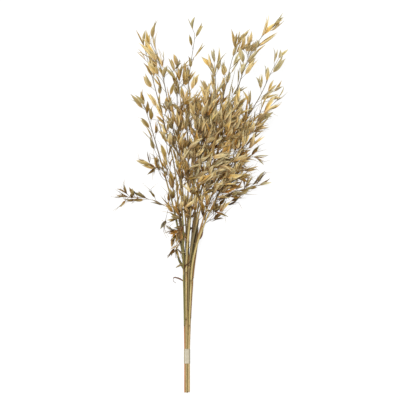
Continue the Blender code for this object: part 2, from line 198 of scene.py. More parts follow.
class Pile:
    """Closed lofted shapes gathered into one mesh. Each point also keeps its place in the fibres of
    its piece, in millimetres, its shares along and across it, and its colour."""

    def __init__(self):
        self.points, self.faces, self.fibre, self.share, self.colour = [], [], [], [], []
        self.count = 0

    def add(self, rings, fibre, colour, share=(0, 0, 0)):
        """A loft through rings of points, closed at both ends."""
        turns, around, _ = rings.shape
        grid = self.count + np.arange(turns * around).reshape(turns, around)
        beyond = np.roll(grid, -1, axis=1)
        quads = np.stack([grid[:-1], beyond[:-1], beyond[1:], grid[1:]], axis=-1)
        self.faces += quads.reshape(-1, 4).tolist()
        self.faces += [grid[0][::-1].tolist(), grid[-1].tolist()]
        self.count += turns * around
        for store, values in ((self.points, rings), (self.fibre, fibre), (self.share, share),
                              (self.colour, colour)):
            store.append(np.broadcast_to(values, rings.shape).reshape(-1, 3))

    def piece(self, name, material, node):
        """The gathered mesh as a piece of the bundle that stands for a solid of the frame."""
        points = np.concatenate(self.points)
        points[:, 2] = pressed_flat(points[:, 2])
        mesh = bpy.data.meshes.new(name)
        mesh.from_pydata(points.tolist(), [], self.faces)
        for label, values in (("fibre", self.fibre), ("share", self.share), ("tint", self.colour)):
            store = mesh.attributes.new(label, "FLOAT_VECTOR", "POINT")
            store.data.foreach_set("vector", np.concatenate(values).astype(np.float32).ravel())
        mesh.shade_smooth()
        mesh.set_sharp_from_angle(angle=SHARP_EDGE)
        mesh.materials.append(material)
        item = placed(name, mesh, (0, 0, 0))
        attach(item, "root")
        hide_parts(node)

    def part_of_stem(self, number, part, material):
        """The gathered mesh as one of the parts that a stem is shown by."""
        self.piece(f"stem_{number + 1:02d}_{part}", material, f"oat_stem_{number + 1:02d}")


LOWEST = 0.0001
PRESSED = 0.0016
SHARP_EDGE = math.radians(50)
SCREEN_LIFT = 0.055
SCREEN_POWER = 2.4
REFLECTED = 0.54
UPRIGHT = 0.01
NOISE_LOW = 0.3
NOISE_HIGH = 0.7
NOISE_ROUGHNESS = 0.6


def pressed_flat(heights):
    """What would sink into the table lies pressed on it, the deeper the flatter."""
    room = PRESSED - LOWEST
    return np.where(heights < PRESSED, LOWEST + room * np.exp((heights - PRESSED) / room), heights)


def paint(red, green, blue):
    """A colour of the dry plant, as strong as light reflects from it, from its screen values."""
    screen = np.array((red, green, blue)) / 255
    return ((screen + SCREEN_LIFT) / (1 + SCREEN_LIFT)) ** SCREEN_POWER * REFLECTED


def towards(start, goal, share):
    """A colour or number, part of the way to another."""
    return start + (goal - start) * share


def tilted(way, side, angle):
    """A way turned by an angle towards another."""
    return way * np.cos(angle) + side * np.sin(angle)


def measured(path):
    """How far along a run each of its points lies."""
    return np.concatenate([[0], np.cumsum(np.linalg.norm(np.diff(path, axis=0), axis=1))])


def between(places, spots, field):
    """What a field of vectors that is known at some spots of a run is at other places of it."""
    return np.stack([np.interp(places, spots, part) for part in field.T], axis=1)


def points_at(path, distances):
    """Places at these distances along a run of points."""
    return between(distances, measured(path), path)


def frames_along(points):
    """The ways along, across and out of a run at each of its points, turning as little as can be."""
    ways = np.gradient(points, axis=0)
    ways /= np.linalg.norm(ways, axis=1)[:, None]
    side = np.cross(ways[0], (0, 0, 1))
    if np.linalg.norm(side) < UPRIGHT:
        side = np.array((1.0, 0, 0))
    sides = []
    for way in ways:
        side = unit(side - way * (side @ way))
        sides.append(side)
    sides = np.array(sides)
    return ways, sides, np.cross(ways, sides)


def full_turn(sides):
    """Angles of the corners of a ring."""
    return 2 * math.pi * np.arange(sides) / sides


def round_rings(points, reach, turn, sides, outs):
    """Rings round a run: how far their corners lie from it, at which angles."""
    return points[:, None] + reach[..., None] * tilted(sides[:, None], outs[:, None], turn[:, None])


def round_fibres(reach, turn, along):
    """Where each corner of the rings lies among the fibres, in millimetres."""
    places = np.broadcast_arrays(reach * np.cos(turn), reach * np.sin(turn), along[:, None])
    return np.stack(places, axis=-1) / MM


def nodes_of(name):
    """A new material with its node tree and its main shader."""
    material = bpy.data.materials.new(name)
    material.use_nodes = True
    return material, material.node_tree, material.node_tree.nodes["Principled BSDF"]


def wire(tree, kind, inputs, output=0, **settings):
    """A shader node with its settings, fed with values or with other nodes' outputs."""
    node = tree.nodes.new("ShaderNode" + kind)
    for key, value in settings.items():
        setattr(node, key, value)
    for key, value in inputs.items():
        if isinstance(value, bpy.types.NodeSocket):
            tree.links.new(value, node.inputs[key])
        else:
            node.inputs[key].default_value = value
    return node.outputs[output]


def stored(tree, label):
    """What each point of a mesh keeps under a label."""
    return wire(tree, "Attribute", {}, "Vector", attribute_name=label)


def split(tree, label):
    """The three values that each point of a mesh keeps under a label, one by one."""
    return wire(tree, "SeparateXYZ", {0: stored(tree, label)}).node.outputs


def multiplied(tree, colour, by):
    """A colour times another."""
    return wire(tree, "VectorMath", {0: colour, 1: by}, operation="MULTIPLY")


def spread(tree, value, low, high, to_low, to_high):
    """A value moved from one range to another, and kept inside it."""
    return wire(tree, "MapRange", {0: value, 1: low, 2: high, 3: to_low, 4: to_high})


def grain(tree, place, across, along, detail=3.0):
    """Noise stretched along the fibres: its changes in a millimetre across and along them."""
    return wire(tree, "TexNoise", {"Vector": multiplied(tree, place, (across, across, along)),
                                   "Scale": 1.0, "Detail": detail, "Roughness": NOISE_ROUGHNESS})


def mottled(tree, colour, pattern, darkest, lightest, low=NOISE_LOW, high=NOISE_HIGH):
    """A colour made darker and lighter by a pattern."""
    factor = spread(tree, pattern, low, high, darkest, lightest)
    return wire(tree, "VectorMath", {0: colour, 3: factor}, operation="SCALE")


def blended(tree, share, first, second):
    """One colour that gives way to another by a share."""
    return wire(tree, "Mix", {0: share, 6: first, 7: second}, 2, data_type="RGBA")


def finish(tree, shader, colour, pattern, smoothest, roughest, height, relief, depth, gloss=0.5):
    """The surface: its colour, how smooth and rough a pattern makes it, and its fine relief."""
    dull = spread(tree, pattern, NOISE_LOW, NOISE_HIGH, smoothest, roughest)
    bump = wire(tree, "Bump", {"Height": height, "Strength": relief, "Distance": depth}, "Normal")
    for name, value in (("Base Color", colour), ("Roughness", dull), ("Normal", bump)):
        tree.links.new(value, shader.inputs[name])
    shader.inputs["Specular IOR Level"].default_value = gloss


STRAW_GOLD = paint(210, 174, 108)
STRAW_PALE = paint(216, 190, 134)
STRAW_ORANGE = paint(200, 128, 52)
STRAW_OLIVE = paint(164, 144, 88)
STRAW_BROWN = paint(164, 124, 70)
SHEATH_OLIVE = paint(142, 132, 70)
SHEATH_STRAW = paint(206, 184, 122)
SHEATH_GREY = paint(142, 124, 82)
SHEATH_BROWN = paint(174, 130, 72)
RACHIS_BROWN = paint(114, 90, 50)
STALK_BLEACHED = paint(158, 150, 130)
JOINT_BROWN = paint(112, 82, 46)
STRAW_SCAR = (*paint(120, 78, 38), 1)

# For each stem, the colour of its bare foot and of its sheaths
CULM_COLOURS = (
    (STRAW_ORANGE, SHEATH_OLIVE), (STRAW_GOLD, SHEATH_STRAW), (STRAW_BROWN, SHEATH_GREY),
    (STRAW_GOLD, SHEATH_OLIVE), (STRAW_BROWN, SHEATH_GREY), (STRAW_GOLD, SHEATH_BROWN),
    (STRAW_BROWN, SHEATH_OLIVE), (STRAW_GOLD, SHEATH_BROWN), (STRAW_ORANGE, SHEATH_OLIVE),
    (STRAW_PALE, SHEATH_STRAW), (STRAW_OLIVE, SHEATH_GREY), (STRAW_PALE, SHEATH_STRAW),
)
LOW_JOINT = (0.052, 0.088)
HIGH_JOINT = (0.128, 0.160)
MOUTH_BELOW_JOINT = (0.004, 0.020)
MOUTH_BELOW_HEAD = (-0.004, 0.016)
SHEATH_STEP = 0.0006
SHEATH_EDGE = 0.00016
MOUTH_FADE = 0.009
MOUTH_MARKS = (-MOUTH_FADE, -MOUTH_FADE / 2, -MOUTH_FADE / 5, -SHEATH_STEP / 2, SHEATH_STEP / 2)
MOUTH_SLANT = 1.3
SLANT_FADE = 0.004
JOINT_SWELL = 0.00028
JOINT_REACH = 0.0014
JOINT_MARKS = JOINT_REACH * np.array((-1, -0.5, 0, 0.5, 1))
BARE_SHARE = 0.80
NECKED = 0.0014
RACHIS_TIP = 0.00036
RACHIS_TAPER = 0.85
BLEACHING = 3
BROWNING = 1.7
JOINT_STAIN = 0.8
JOINT_SHAPE = 1.6
FOOT_COLOUR_FADE = (0.02, 0.14)
CULM_SIDES = 16
SEAM_SIDE = 0.35
SEAM_LAP = 0.16
FRAME_SPOTS = 200
FIBRES_APART = 40
HOLLOW = 0.55
HOLLOW_DEPTH = 0.004
CUT_SLANT = (0.4, 1.2)
LOOKS_SEED = 5


def straw_finish():
    """Dry straw: shiny and ribbed along its fibres, with streaks and a few brown scars."""
    material, tree, shader = nodes_of("dry_straw_finish")
    fibre = stored(tree, "fibre")
    streaks = grain(tree, fibre, across=2.6, along=0.045, detail=4.0)
    blotches = grain(tree, fibre, across=0.35, along=0.06)
    scars = grain(tree, fibre, across=0.9, along=0.16, detail=2.0)
    ribs = grain(tree, fibre, across=4.5, along=0.05, detail=4.0)
    colour = mottled(tree, stored(tree, "tint"), streaks, darkest=0.72, lightest=1.22)
    colour = mottled(tree, colour, blotches, darkest=0.84, lightest=1.12)
    colour = blended(tree, spread(tree, scars, 0.58, 0.72, 0.0, 0.55), colour, STRAW_SCAR)
    finish(tree, shader, colour, streaks, smoothest=0.36, roughest=0.58,
           height=ribs, relief=0.5, depth=0.00025, gloss=0.25)
    return material


def straw_stations(stem, rng):
    """Distances along a stem where its straw gets a ring, with the joints and sheath mouths."""
    fine = stem["fine"]
    whole = run_length(fine)
    joints = [length_at_height(fine, rng.uniform(*span)) for span in (LOW_JOINT, HIGH_JOINT)]
    mouths = [joints[1] - rng.uniform(*MOUTH_BELOW_JOINT),
              stem["first"] - rng.uniform(*MOUTH_BELOW_HEAD)]
    marks = [mouth + step for mouth in mouths for step in MOUTH_MARKS]
    marks += [joint + step for joint in joints for step in JOINT_MARKS]
    even = np.arange(1, round(whole / FINE_SPACING)) * FINE_SPACING
    even = even[np.abs(even[:, None] - np.array(marks)).min(axis=1) > SHEATH_STEP]
    return np.sort(np.concatenate([even, marks, [whole]])), joints, mouths, whole


def straw_profile(stem, stations, joints, mouths, whole):
    """Radius and sheath share at each station."""
    heights = points_at(stem["fine"], stations)[:, 1]
    wrapped, snug = np.zeros(len(stations)), np.ones(len(stations))
    for joint, mouth in zip(joints, mouths):
        inside = (stations > joint) & (stations < mouth)
        wrapped[inside] = 1
        snug[inside] = np.clip((mouth - stations[inside]) / MOUTH_FADE, 0, 1)
    full = thickness(heights)
    bare = np.where(heights < NECK[0] / 2, full, np.minimum(full * BARE_SHARE, NECKED))
    head = np.clip((stations - stem["first"]) / (whole - stem["first"]), 0, 1)
    bare = np.where(head > 0, RACHIS_TIP + (NECKED - RACHIS_TIP) * (1 - head) ** RACHIS_TAPER, bare)
    radii = np.where(wrapped > 0, bare + SHEATH_EDGE + (full - bare - SHEATH_EDGE) * snug, bare)
    for joint in joints:
        radii += JOINT_SWELL * np.exp(-((stations - joint) / JOINT_REACH * JOINT_SHAPE) ** 2)
    return radii, wrapped, head


def straw_colours(number, heights, stations, joints, wrapped, head):
    """A stem's colour at each station: its bare foot, its sheaths, its joints and its rachis."""
    bare_colour, sheath_colour = CULM_COLOURS[number]
    faded = np.interp(heights, FOOT_COLOUR_FADE, (0, 1))
    own = towards(bare_colour, (STRAW_GOLD + sheath_colour) / 2, faded[:, None])
    own = np.where(wrapped[:, None] > 0, sheath_colour, own)
    own = towards(own, RACHIS_BROWN, np.clip(head * BROWNING, 0, 1)[:, None])
    own = towards(own, STALK_BLEACHED, head[:, None] ** BLEACHING)
    for joint in joints:
        near = np.exp(-((stations - joint) / JOINT_REACH) ** 2)
        own = towards(own, JOINT_BROWN, near[:, None] * JOINT_STAIN)
    return own[:, None]


def grow_straw(pile, number, stem, rng):
    """A culm with its sheaths and rachis, hollow at its slanted cut end."""
    stations, joints, mouths, whole = straw_stations(stem, rng)
    radii, wrapped, head = straw_profile(stem, stations, joints, mouths, whole)
    stations = np.concatenate([[HOLLOW_DEPTH, 0, 0], stations])
    radii = np.concatenate([np.array((HOLLOW, HOLLOW, 1)) * CULM_WIDTH / 2, radii])
    wrapped, head = (np.concatenate([[0, 0, 0], shares]) for shares in (wrapped, head))
    middle = points_at(stem["fine"], stations)
    spots = np.linspace(0, whole, FRAME_SPOTS)
    frames = frames_along(points_at(stem["fine"], spots))
    ways, sides, outs = (between(stations, spots, field) for field in frames)
    corners = np.concatenate([[0], (np.arange(CULM_SIDES) + SEAM_SIDE) / CULM_SIDES])
    turn = rng.uniform(0, 2 * math.pi) + 2 * math.pi * corners
    lap = 1 + SEAM_LAP * np.linspace(0, 1, CULM_SIDES + 1)[None, :] * wrapped[:, None]
    reach = radii[:, None] * lap
    rings = round_rings(middle, reach, turn, sides, outs)
    sideways = (reach * np.cos(turn))[..., None]
    rings[1:3] += ways[1:3, None] * (sideways[1:3] * rng.uniform(*CUT_SLANT))
    for mouth in mouths:
        tilt = MOUTH_SLANT * np.exp(-np.abs(stations - mouth) / SLANT_FADE)
        tilt[:3] = 0
        rings += ways[:, None] * (sideways * tilt[:, None, None])
    fibre = round_fibres(reach, turn, stations)
    fibre[..., 0] += number * FIBRES_APART
    pile.add(rings, fibre, straw_colours(number, middle[:, 1], stations, joints, wrapped, head))


looks = random.Random(LOOKS_SEED)
dry_straw = straw_finish()
straw_piles = [Pile() for _ in stems]
for number, stem in enumerate(stems):
    grow_straw(straw_piles[number], number, stem, looks)

# The branches and pedicels: thin stalks that grow from the rachis and carry one spikelet each, or a
# few. They are part of their stem. A branch that finds no room among the others is turned and moved.
BRANCH_RADIUS = 0.00065
PEDICEL_LENGTH = (0.005, 0.009)
PEDICEL_LEAN = math.radians(41)
BARE_FOOT = 0.25
TOP_PEDICEL = 0.0016
SHORTEST_REACH = 0.007
BENT_REACH = 0.016
REACH_POWER = 2.1
ROOT_LEAN = math.radians(58)
TIP_LEAN = np.radians((22, 44))
BEND_SHARE = 0.45
FLATTENED = 0.8
GOLDEN_TURN = math.radians(137.5)
TIPWARD = 0.66
THINNING = 1.15
SWAY = 0.14
TIP_LED_BY_STEM = 0.9
SIDE_LED_BY_STEM = 0.9
SPIKELET_LENGTH = (0.0210, 0.0300)
CLOSED_SHARE = 0.74
OPENING = np.radians((18, 52))
HUSK_BAR = (0.12, 0.92)
HUSK_BAR_RADIUS = 0.0029
NEIGHBOUR_GAP = 0.0005
TABLE_STALK = 0.0009
TABLE_SPIKELET = 0.0020
TRIES = 40
TURN_SWAY = (0.3, 2.5)
MOVE_SWAY = 0.012
SHORTENED = 0.45
THINNED = 0.5
PARALLEL = 1e-18

# Long low branches: the stem's number, the height along the bundle where it leaves, the place of its
# tip in millimetres, and its spikelets
REACHING = (
    (0, 244, (-100, 272, 16), 5),
    (0, 262, (-27, 238, 14), 1),
    (3, 248, (124, 292, 20), 4),
    (7, 292, (110, 344, 34), 3),
    (11, 262, (98, 284, 66), 3),
    (7, 395, (136, 420, 52), 2),
    (3, 222, (40, 236, 8), 3),
    (4, 292, (-62, 326, 40), 3),
    (8, 230, (-16, 212, 42), 2),
    (4, 200, (-19, 186, 24), 1),
    (11, 236, (46, 250, 52), 2),
    (7, 256, (80, 300, 44), 5),
    (3, 232, (74, 264, 14), 4),
    (11, 246, (88, 318, 70), 5),
)
REACHING_BEND = (0.25, 0.3)
REACHING_PIECES = 4


def place_along(points, distance):
    """Point and direction at a distance along a run of points."""
    for start, end in zip(points, points[1:]):
        length = np.linalg.norm(end - start)
        if distance <= length or end is points[-1]:
            share = min(distance / length, 1)
            return start + (end - start) * share, (end - start) / length
        distance -= length
    return points[-1], unit(points[-1] - points[-2])


def off_the_table(point, clearance):
    """The same point, no lower than what lies on the table can be."""
    return np.array((point[0], point[1], max(point[2], clearance)))


def segment_gaps(start, end, starts, ends):
    """Shortest distances from one segment to many."""
    run = end - start
    runs = ends - starts
    offset = start - starts
    own = run @ run
    other = (runs * runs).sum(axis=1)
    cross = runs @ run
    along_own = offset @ run
    along_other = (runs * offset).sum(axis=1)
    apart = np.maximum(own * other - cross * cross, PARALLEL)
    s = np.clip((cross * along_other - along_own * other) / apart, 0, 1)
    t = np.clip((cross * s + along_other) / other, 0, 1)
    s = np.clip((cross * t - along_own) / own, 0, 1)
    return np.linalg.norm(offset + s[:, None] * run - t[:, None] * runs, axis=1)


class Room:
    """What is already taken: each stalk and glume as a rounded bar, with its culm's number."""

    def __init__(self):
        self.bars = np.zeros((0, 8))

    def add(self, bars, culm=-1):
        rows = [np.concatenate([start, end, (radius, culm)]) for start, end, radius in bars]
        self.bars = np.vstack([self.bars] + rows)

    def takes(self, sprigs, culm, gap):
        """Adds sprigs if they keep their gap; the first bar may meet the culm that it grows from."""
        bars = bars_of(sprigs)
        for index, (start, end, radius) in enumerate(bars):
            others = self.bars
            if index == 0:
                others = others[others[:, 7] != culm]
            apart = segment_gaps(start, end, others[:, 0:3], others[:, 3:6])
            if (apart - others[:, 6] - radius).min() < gap:
                return False
        self.add(bars)
        return True


def bent_run(root, bend, tip, pieces):
    """Points of a stalk that leaves its root towards the bend and turns to its tip."""
    shares = [step / pieces for step in range(pieces + 1)]
    points = [root * (1 - t) ** 2 + bend * 2 * t * (1 - t) + tip * t ** 2 for t in shares]
    return [root] + [off_the_table(point, TABLE_STALK) for point in points[1:]]


def drift(rng, amount):
    """A random step, about this far along each axis."""
    return np.array([rng.gauss(0, amount) for _ in range(3)])


def aside(rng, way):
    """Some way at right angles to another."""
    return unit(np.cross(way, drift(rng, 1)))


def spikelet_at(rng, base, axis):
    """One spikelet: where it starts, where it points, how it gapes, its length and opening."""
    length = rng.uniform(*SPIKELET_LENGTH)
    opening = 0 if rng.random() < CLOSED_SHARE else rng.uniform(*OPENING)
    base = off_the_table(base, TABLE_SPIKELET)
    axis = unit(off_the_table(base + axis * length, TABLE_STALK) - base)
    return base, axis, aside(rng, axis), length, opening


def sprigs_on(rng, along, run, count, loose=1):
    """Stalks with their spikelets: a side branch with one at its tip, and pedicels up its side."""
    heading = unit(run[-1] - run[-2]) + along * TIP_LED_BY_STEM
    sprigs = [(run, spikelet_at(rng, run[-1], unit(heading + drift(rng, SWAY) * loose)))]
    for index in range(1, count):
        foot, course = place_along(run, run_length(run) * (1 - index / (count + BARE_FOOT)))
        away = tilted(course, aside(rng, course), PEDICEL_LEAN)
        end = off_the_table(foot + away * rng.uniform(*PEDICEL_LENGTH), TABLE_SPIKELET)
        heading = away + along * SIDE_LED_BY_STEM
        sprigs.append(([foot, end], spikelet_at(rng, end, unit(heading + drift(rng, SWAY) * loose))))
    return sprigs


def glume_ways(spikelet):
    """Directions of a spikelet's glumes: one way when it is closed, two when it gapes."""
    _, axis, fan, _, opening = spikelet
    return [tilted(axis, fan, side * opening / 2) for side in (-1, 1)] if opening else [axis]


def bars_of(sprigs):
    """The rounded bars that stand for stalks and glumes where clearance is measured."""
    bars = []
    for stalk, spikelet in sprigs:
        bars += [(start, end, BRANCH_RADIUS) for start, end in zip(stalk, stalk[1:])]
        base, length = spikelet[0], spikelet[3]
        for way in glume_ways(spikelet):
            low, high = (base + way * length * share for share in HUSK_BAR)
            bars.append((low, high, HUSK_BAR_RADIUS))
    return bars


def side_branch(rng, room, number, path, distance, turn, reach, count, gap=NEIGHBOUR_GAP):
    """A side branch that keeps clear of what already grew, or nothing where none fits."""
    for attempt in range(TRIES):
        ease = attempt / TRIES
        foot, along = place_along(path, distance + rng.uniform(-1, 1) * MOVE_SWAY * ease)
        across = unit(np.cross(along, (0, 0, 1)))
        upward = np.cross(across, along)
        angle = turn + rng.gauss(0, TURN_SWAY[0] + TURN_SWAY[1] * ease)
        out = tilted(across, upward * FLATTENED, angle)
        length = reach * (1 - SHORTENED * ease)
        lean = rng.uniform(*TIP_LEAN)
        tip = foot + tilted(along, out, lean) * length
        root_way = tilted(along, out, ROOT_LEAN)
        pieces = 3 if count > 1 else 1 + (length > BENT_REACH)
        run = bent_run(foot, foot + root_way * length * BEND_SHARE, tip, pieces)
        sprigs = sprigs_on(rng, along, run, max(1, round(count * (1 - THINNED * ease))))
        if room.takes(sprigs, number, gap):
            return sprigs
    return []


def reaching_branch(rng, room, number, path, height, goal, count):
    """A long low branch that ends at a stated place, or near it."""
    foot, along = place_along(path, length_at_height(path, height * MM))
    for attempt in range(TRIES):
        tip = np.array(goal) * MM + drift(rng, MOVE_SWAY * attempt / TRIES)
        away = tip - foot
        bend = foot + along * np.linalg.norm(away) * REACHING_BEND[0] + away * REACHING_BEND[1]
        sprigs = sprigs_on(rng, unit(away), bent_run(foot, bend, tip, REACHING_PIECES), count)
        if room.takes(sprigs, number, NEIGHBOUR_GAP):
            return sprigs
    return []


def up_the_head(stem, share):
    """How far along a stem a place in its head lies: 0 is the foot of the head, 1 its tip."""
    return stem["first"] + (run_length(stem["path"]) - stem["first"]) * share


room = Room()
for number, stem in enumerate(stems):
    path, radii = stem["path"], stem["radii"]
    room.add(list(zip(path, path[1:], map(max, radii, radii[1:]))), number)
for number, stem in enumerate(stems):
    tip, heading = place_along(stem["path"], run_length(stem["path"]))
    top = [([tip - heading * TOP_PEDICEL, tip], spikelet_at(growth, tip, heading))]
    room.add(bars_of(top))
    stem["sprigs"] += top
long_runs = []
for number, height, goal, count in REACHING:
    stem = stems[number]
    grown = reaching_branch(growth, room, number, stem["path"], height, goal, count)
    long_runs.append((number, grown[0][0]))
    stem["sprigs"] += grown
for order in range(1, max(row[4] for row in STEMS)):
    for number, stem in enumerate(stems):
        branches, reach, low_count = STEMS[number][4:]
        if order >= branches:
            continue
        share = 1 - order / (branches - 1)
        distance = up_the_head(stem, share ** TIPWARD)
        length = SHORTEST_REACH + (reach * MM - SHORTEST_REACH) * (1 - share) ** REACH_POWER
        count = max(1, round(low_count * (1 - share * THINNING)))
        turn = order * GOLDEN_TURN + number
        stem["sprigs"] += side_branch(
            growth, room, number, stem["path"], distance, turn, length, count)

# More branches fill the heads as densely as the plant grew them: short ones that crowd the tips, and
# others that end in the thick parts of the bunch. For each thick part: its middle and its half size
# over the table, how high over it, the way its spikelets point, and how many branches end in it.
FILL_SEED = 23
FILL_GAP = -0.0026
CROWDED = ((1, 3), (3, 2), (5, 2), (6, 5), (7, 1), (8, 2), (9, 4), (10, 5), (11, 2))
CROWDED_FROM = 0.50
CROWDED_REACH = (0.005, 0.014)
THICK_PARTS = (
    ((56, 316), (30, 36), (8, 74), (2.4, 0.2, 0.06), 50),
    ((28, 332), (32, 50), (8, 84), (0.45, 1.1, 0.10), 52),
    ((30, 398), (34, 34), (18, 90), (0.55, 1.0, 0.05), 46),
    ((76, 380), (24, 32), (16, 90), (0.90, 0.86, 0.05), 30),
    ((4, 266), (18, 24), (8, 62), (0.05, 0.95, 0.15), 14),
    ((-12, 216), (7, 16), (10, 40), (-0.5, -0.8, 0.10), 7),
    ((-16, 410), (10, 40), (16, 84), (-0.30, 0.95, 0.05), 8),
    ((98, 520), (16, 24), (50, 92), (0.60, 1.0, 0.05), 6),
    ((36, 442), (12, 18), (24, 84), (0.15, 1.0, 0.05), 3),
    ((-56, 498), (9, 22), (44, 90), (-0.30, 1.0, 0.05), 4),
    ((-12, 478), (12, 22), (24, 80), (-0.10, 1.0, 0.05), 5),
    ((142, 448), (8, 12), (36, 66), (0.80, 0.9, 0.05), 3),
    ((2, 244), (16, 14), (12, 60), (0.0, 0.95, 0.15), 6),
    ((36, 340), (36, 44), (4, 18), (0.50, 1.0, 0.05), 26),
)
PART_SPREAD = 0.62
SPRAY_SPIKELETS = (1, 2, 2)
LOOSE = 2.4
CLUSTERED = (7, 0, 4, 2, 1, 1, 2, 5, 3, 2, 2)
CLUSTERED_FROM = 0.55
CLUSTER_LEAN = np.radians((20, 75))
BACK_DOWN = (0.014, 0.040)
SPRAY_BEND = 0.45
SPRAY_PIECES = 3
TIDY_TIPS = 0.65
HUSKS_FROM = 0.25
HUSKS_TO = 0.46


def how_high(place):
    """How high in the heads something grew: 0 at their feet, 1 at their tips."""
    return min(max((place[1] - HUSKS_FROM) / (HUSKS_TO - HUSKS_FROM), 0), 1)


def nearest_foot(rng, goal):
    """The stem, and the place on it, from which a branch would grow to a goal."""
    choices = []
    for number, stem in enumerate(stems):
        y = goal[1] - rng.uniform(*BACK_DOWN)
        lowest, highest = STEMS[number][3] * MM, stem["path"][-1][1]
        if y < highest:
            place = place_along(stem["path"], length_at_height(stem["path"], max(y, lowest)))
            choices.append((np.linalg.norm(goal - place[0]), number, place))
    return min(choices, key=lambda choice: choice[0])


def thick_part(rng, room, middle, half, heights, lead):
    """One branch of a thick part that keeps its distance, or nothing where none fits."""
    for _ in range(TRIES):
        goal = np.array((middle[0] + half[0] * rng.gauss(0, PART_SPREAD),
                         middle[1] + half[1] * rng.gauss(0, PART_SPREAD),
                         rng.uniform(*heights))) * MM
        _, number, (foot, along) = nearest_foot(rng, goal)
        bend = foot + along * np.linalg.norm(goal - foot) * SPRAY_BEND
        run = bent_run(foot, bend, goal, SPRAY_PIECES)
        loose = LOOSE * (1 - TIDY_TIPS * how_high(goal))
        sprigs = sprigs_on(rng, np.array(lead), run, rng.choice(SPRAY_SPIKELETS), loose)
        if room.takes(sprigs, number, FILL_GAP):
            return number, sprigs
    return 0, []


def cluster(rng, room, number, run, count):
    """More spikelets on short pedicels round the outer part of a long branch."""
    sprigs = []
    whole = run_length(run)
    for _ in range(count * 3):
        if len(sprigs) == count:
            break
        foot, along = place_along(run, whole * rng.uniform(CLUSTERED_FROM, 1))
        away = tilted(along, aside(rng, along), rng.uniform(*CLUSTER_LEAN))
        end = off_the_table(foot + away * rng.uniform(*PEDICEL_LENGTH), TABLE_SPIKELET)
        sprig = ([foot, end], spikelet_at(rng, end, unit(away + drift(rng, SWAY))))
        if room.takes([sprig], number, FILL_GAP):
            sprigs.append(sprig)
    return sprigs


fill = random.Random(FILL_SEED)
for (number, run), count in zip(long_runs, CLUSTERED):
    stems[number]["sprigs"] += cluster(fill, room, number, run, count)
for number, count in CROWDED:
    stem = stems[number]
    for _ in range(count):
        distance = up_the_head(stem, fill.uniform(CROWDED_FROM, 1))
        stem["sprigs"] += side_branch(
            fill, room, number, stem["path"], distance, fill.uniform(0, 2 * math.pi),
            fill.uniform(*CROWDED_REACH), 1, FILL_GAP)
for middle, half, heights, lead, count in THICK_PARTS:
    for _ in range(count):
        number, sprigs = thick_part(fill, room, middle, half, heights, lead)
        stems[number]["sprigs"] += sprigs

# The stalks as they show: hair-thin straws of their stem, thickest at the root and at the cup that
# holds the husks, brown low down and bleached towards the tips.
STALK_SPACING = 0.003
STALK_SIDES = 6
STALK_PLACES = (0, 0.25, 0.8, 1)
STALK_RADII = (0.00042, 0.00030, 0.00030, 0.00050)
STALKS_APART = 100
STALK_COLOURS = (paint(114, 86, 42), paint(130, 104, 54), paint(98, 68, 32))


def draw_stalk(pile, stem, stalk, rng):
    """A stalk from its foot in the rachis to the cup that holds its spikelet."""
    foot = stalk[0]
    if len(stalk) > 2:
        near = np.linalg.norm(stem["fine"] - foot, axis=1).argmin()
        foot = stem["fine"][near]
    points = np.array(smooth_run([foot] + list(stalk[1:]), STALK_SPACING))
    if len(points) < 3:
        points = np.array([points[0], (points[0] + points[-1]) / 2, points[-1]])
    shares = np.linspace(0, 1, len(points))
    reach = np.interp(shares, STALK_PLACES, STALK_RADII)[:, None]
    _, sides, outs = frames_along(points)
    turn = full_turn(STALK_SIDES)
    rings = round_rings(points, reach, turn, sides, outs)
    fibre = round_fibres(reach, turn, shares * run_length(points))
    fibre[..., 0] += rng.uniform(0, STALKS_APART)
    own = rng.choice(STALK_COLOURS)
    pile.add(rings, fibre, towards(own, STALK_BLEACHED, how_high(foot) ** BLEACHING))


for number, stem in enumerate(stems):
    for stalk, spikelet in stem["sprigs"]:
        draw_stalk(straw_piles[number], stem, stalk, looks)
    straw_piles[number].part_of_stem(number, "straw", dry_straw)

# The husks: each spikelet's pair of glumes, papery boats that end in a long point, ribbed along their
# nerves and clear at their edges. The oats have long fallen out of most of them.
GLUME_WIDTH = (0.0036, 0.0080)
GLUME_WIDER_UP = 0.12
GLUME_SIZE = (0.66, 1.0)
GLUME_LONGER_UP = 0.04
GLUME_FOOT_TAPER = (0.60, 0.95)
GLUME_TIP_TAPER = (0.95, 1.45)
GLUME_STATIONS = np.array((0, 0.05, 0.13, 0.24, 0.37, 0.5, 0.63, 0.75, 0.86, 0.94, 1))[:, None]
GLUME_WALL = 0.00014
GLUME_ROOT = 0.11
GLUME_POINT = 0.012
GLUME_THINNER = 2
BOW_SHAPE = 0.8
HUSKS_APART = 200
CLOSED_WRAP = np.radians((30, 66))
GAPING_WRAP = np.radians((14, 54))
CLOSED_GAPE = (0.04, 0.50)
CLOSED_BOW = (0.01, 0.05)
GAPING_BOW = (-0.06, 0.04)
GLUME_TWIST = 0.9
GLUME_BEND = 0.16
GLUME_CURL = (0.04, 0.12)
SECOND_GLUME = (0.80, 0.98)
ONE_GLUME_LOST = 0.10
HUSK_SHEER = 1.55
HUSK_OCHRE = paint(210, 199, 140) * HUSK_SHEER
HUSK_CREAM = paint(228, 224, 188) * HUSK_SHEER
HUSK_GOLD = paint(212, 178, 96) * HUSK_SHEER
HUSK_OLIVE = paint(204, 182, 100) * HUSK_SHEER
HUSK_BROWN = paint(170, 122, 56) * HUSK_SHEER
# Painted bounce light: the warm gold that light takes on among the husks in the thick of the bunch
HUSK_PAINTED_BOUNCE = paint(250, 194, 70) * HUSK_SHEER
HUSK_RUSSET = paint(108, 56, 30) * HUSK_SHEER
HUSK_EDGE = (*paint(240, 237, 212) * HUSK_SHEER, 1)
# Painted shade: the inner, hollow face of a husk is made darker and warmer
HUSK_HOLLOW_SHADE = (1.0, 0.90, 0.66)
RIM_PALE = 0.74
TIP_PALE = 0.68
SECOND_COLOUR = 0.35

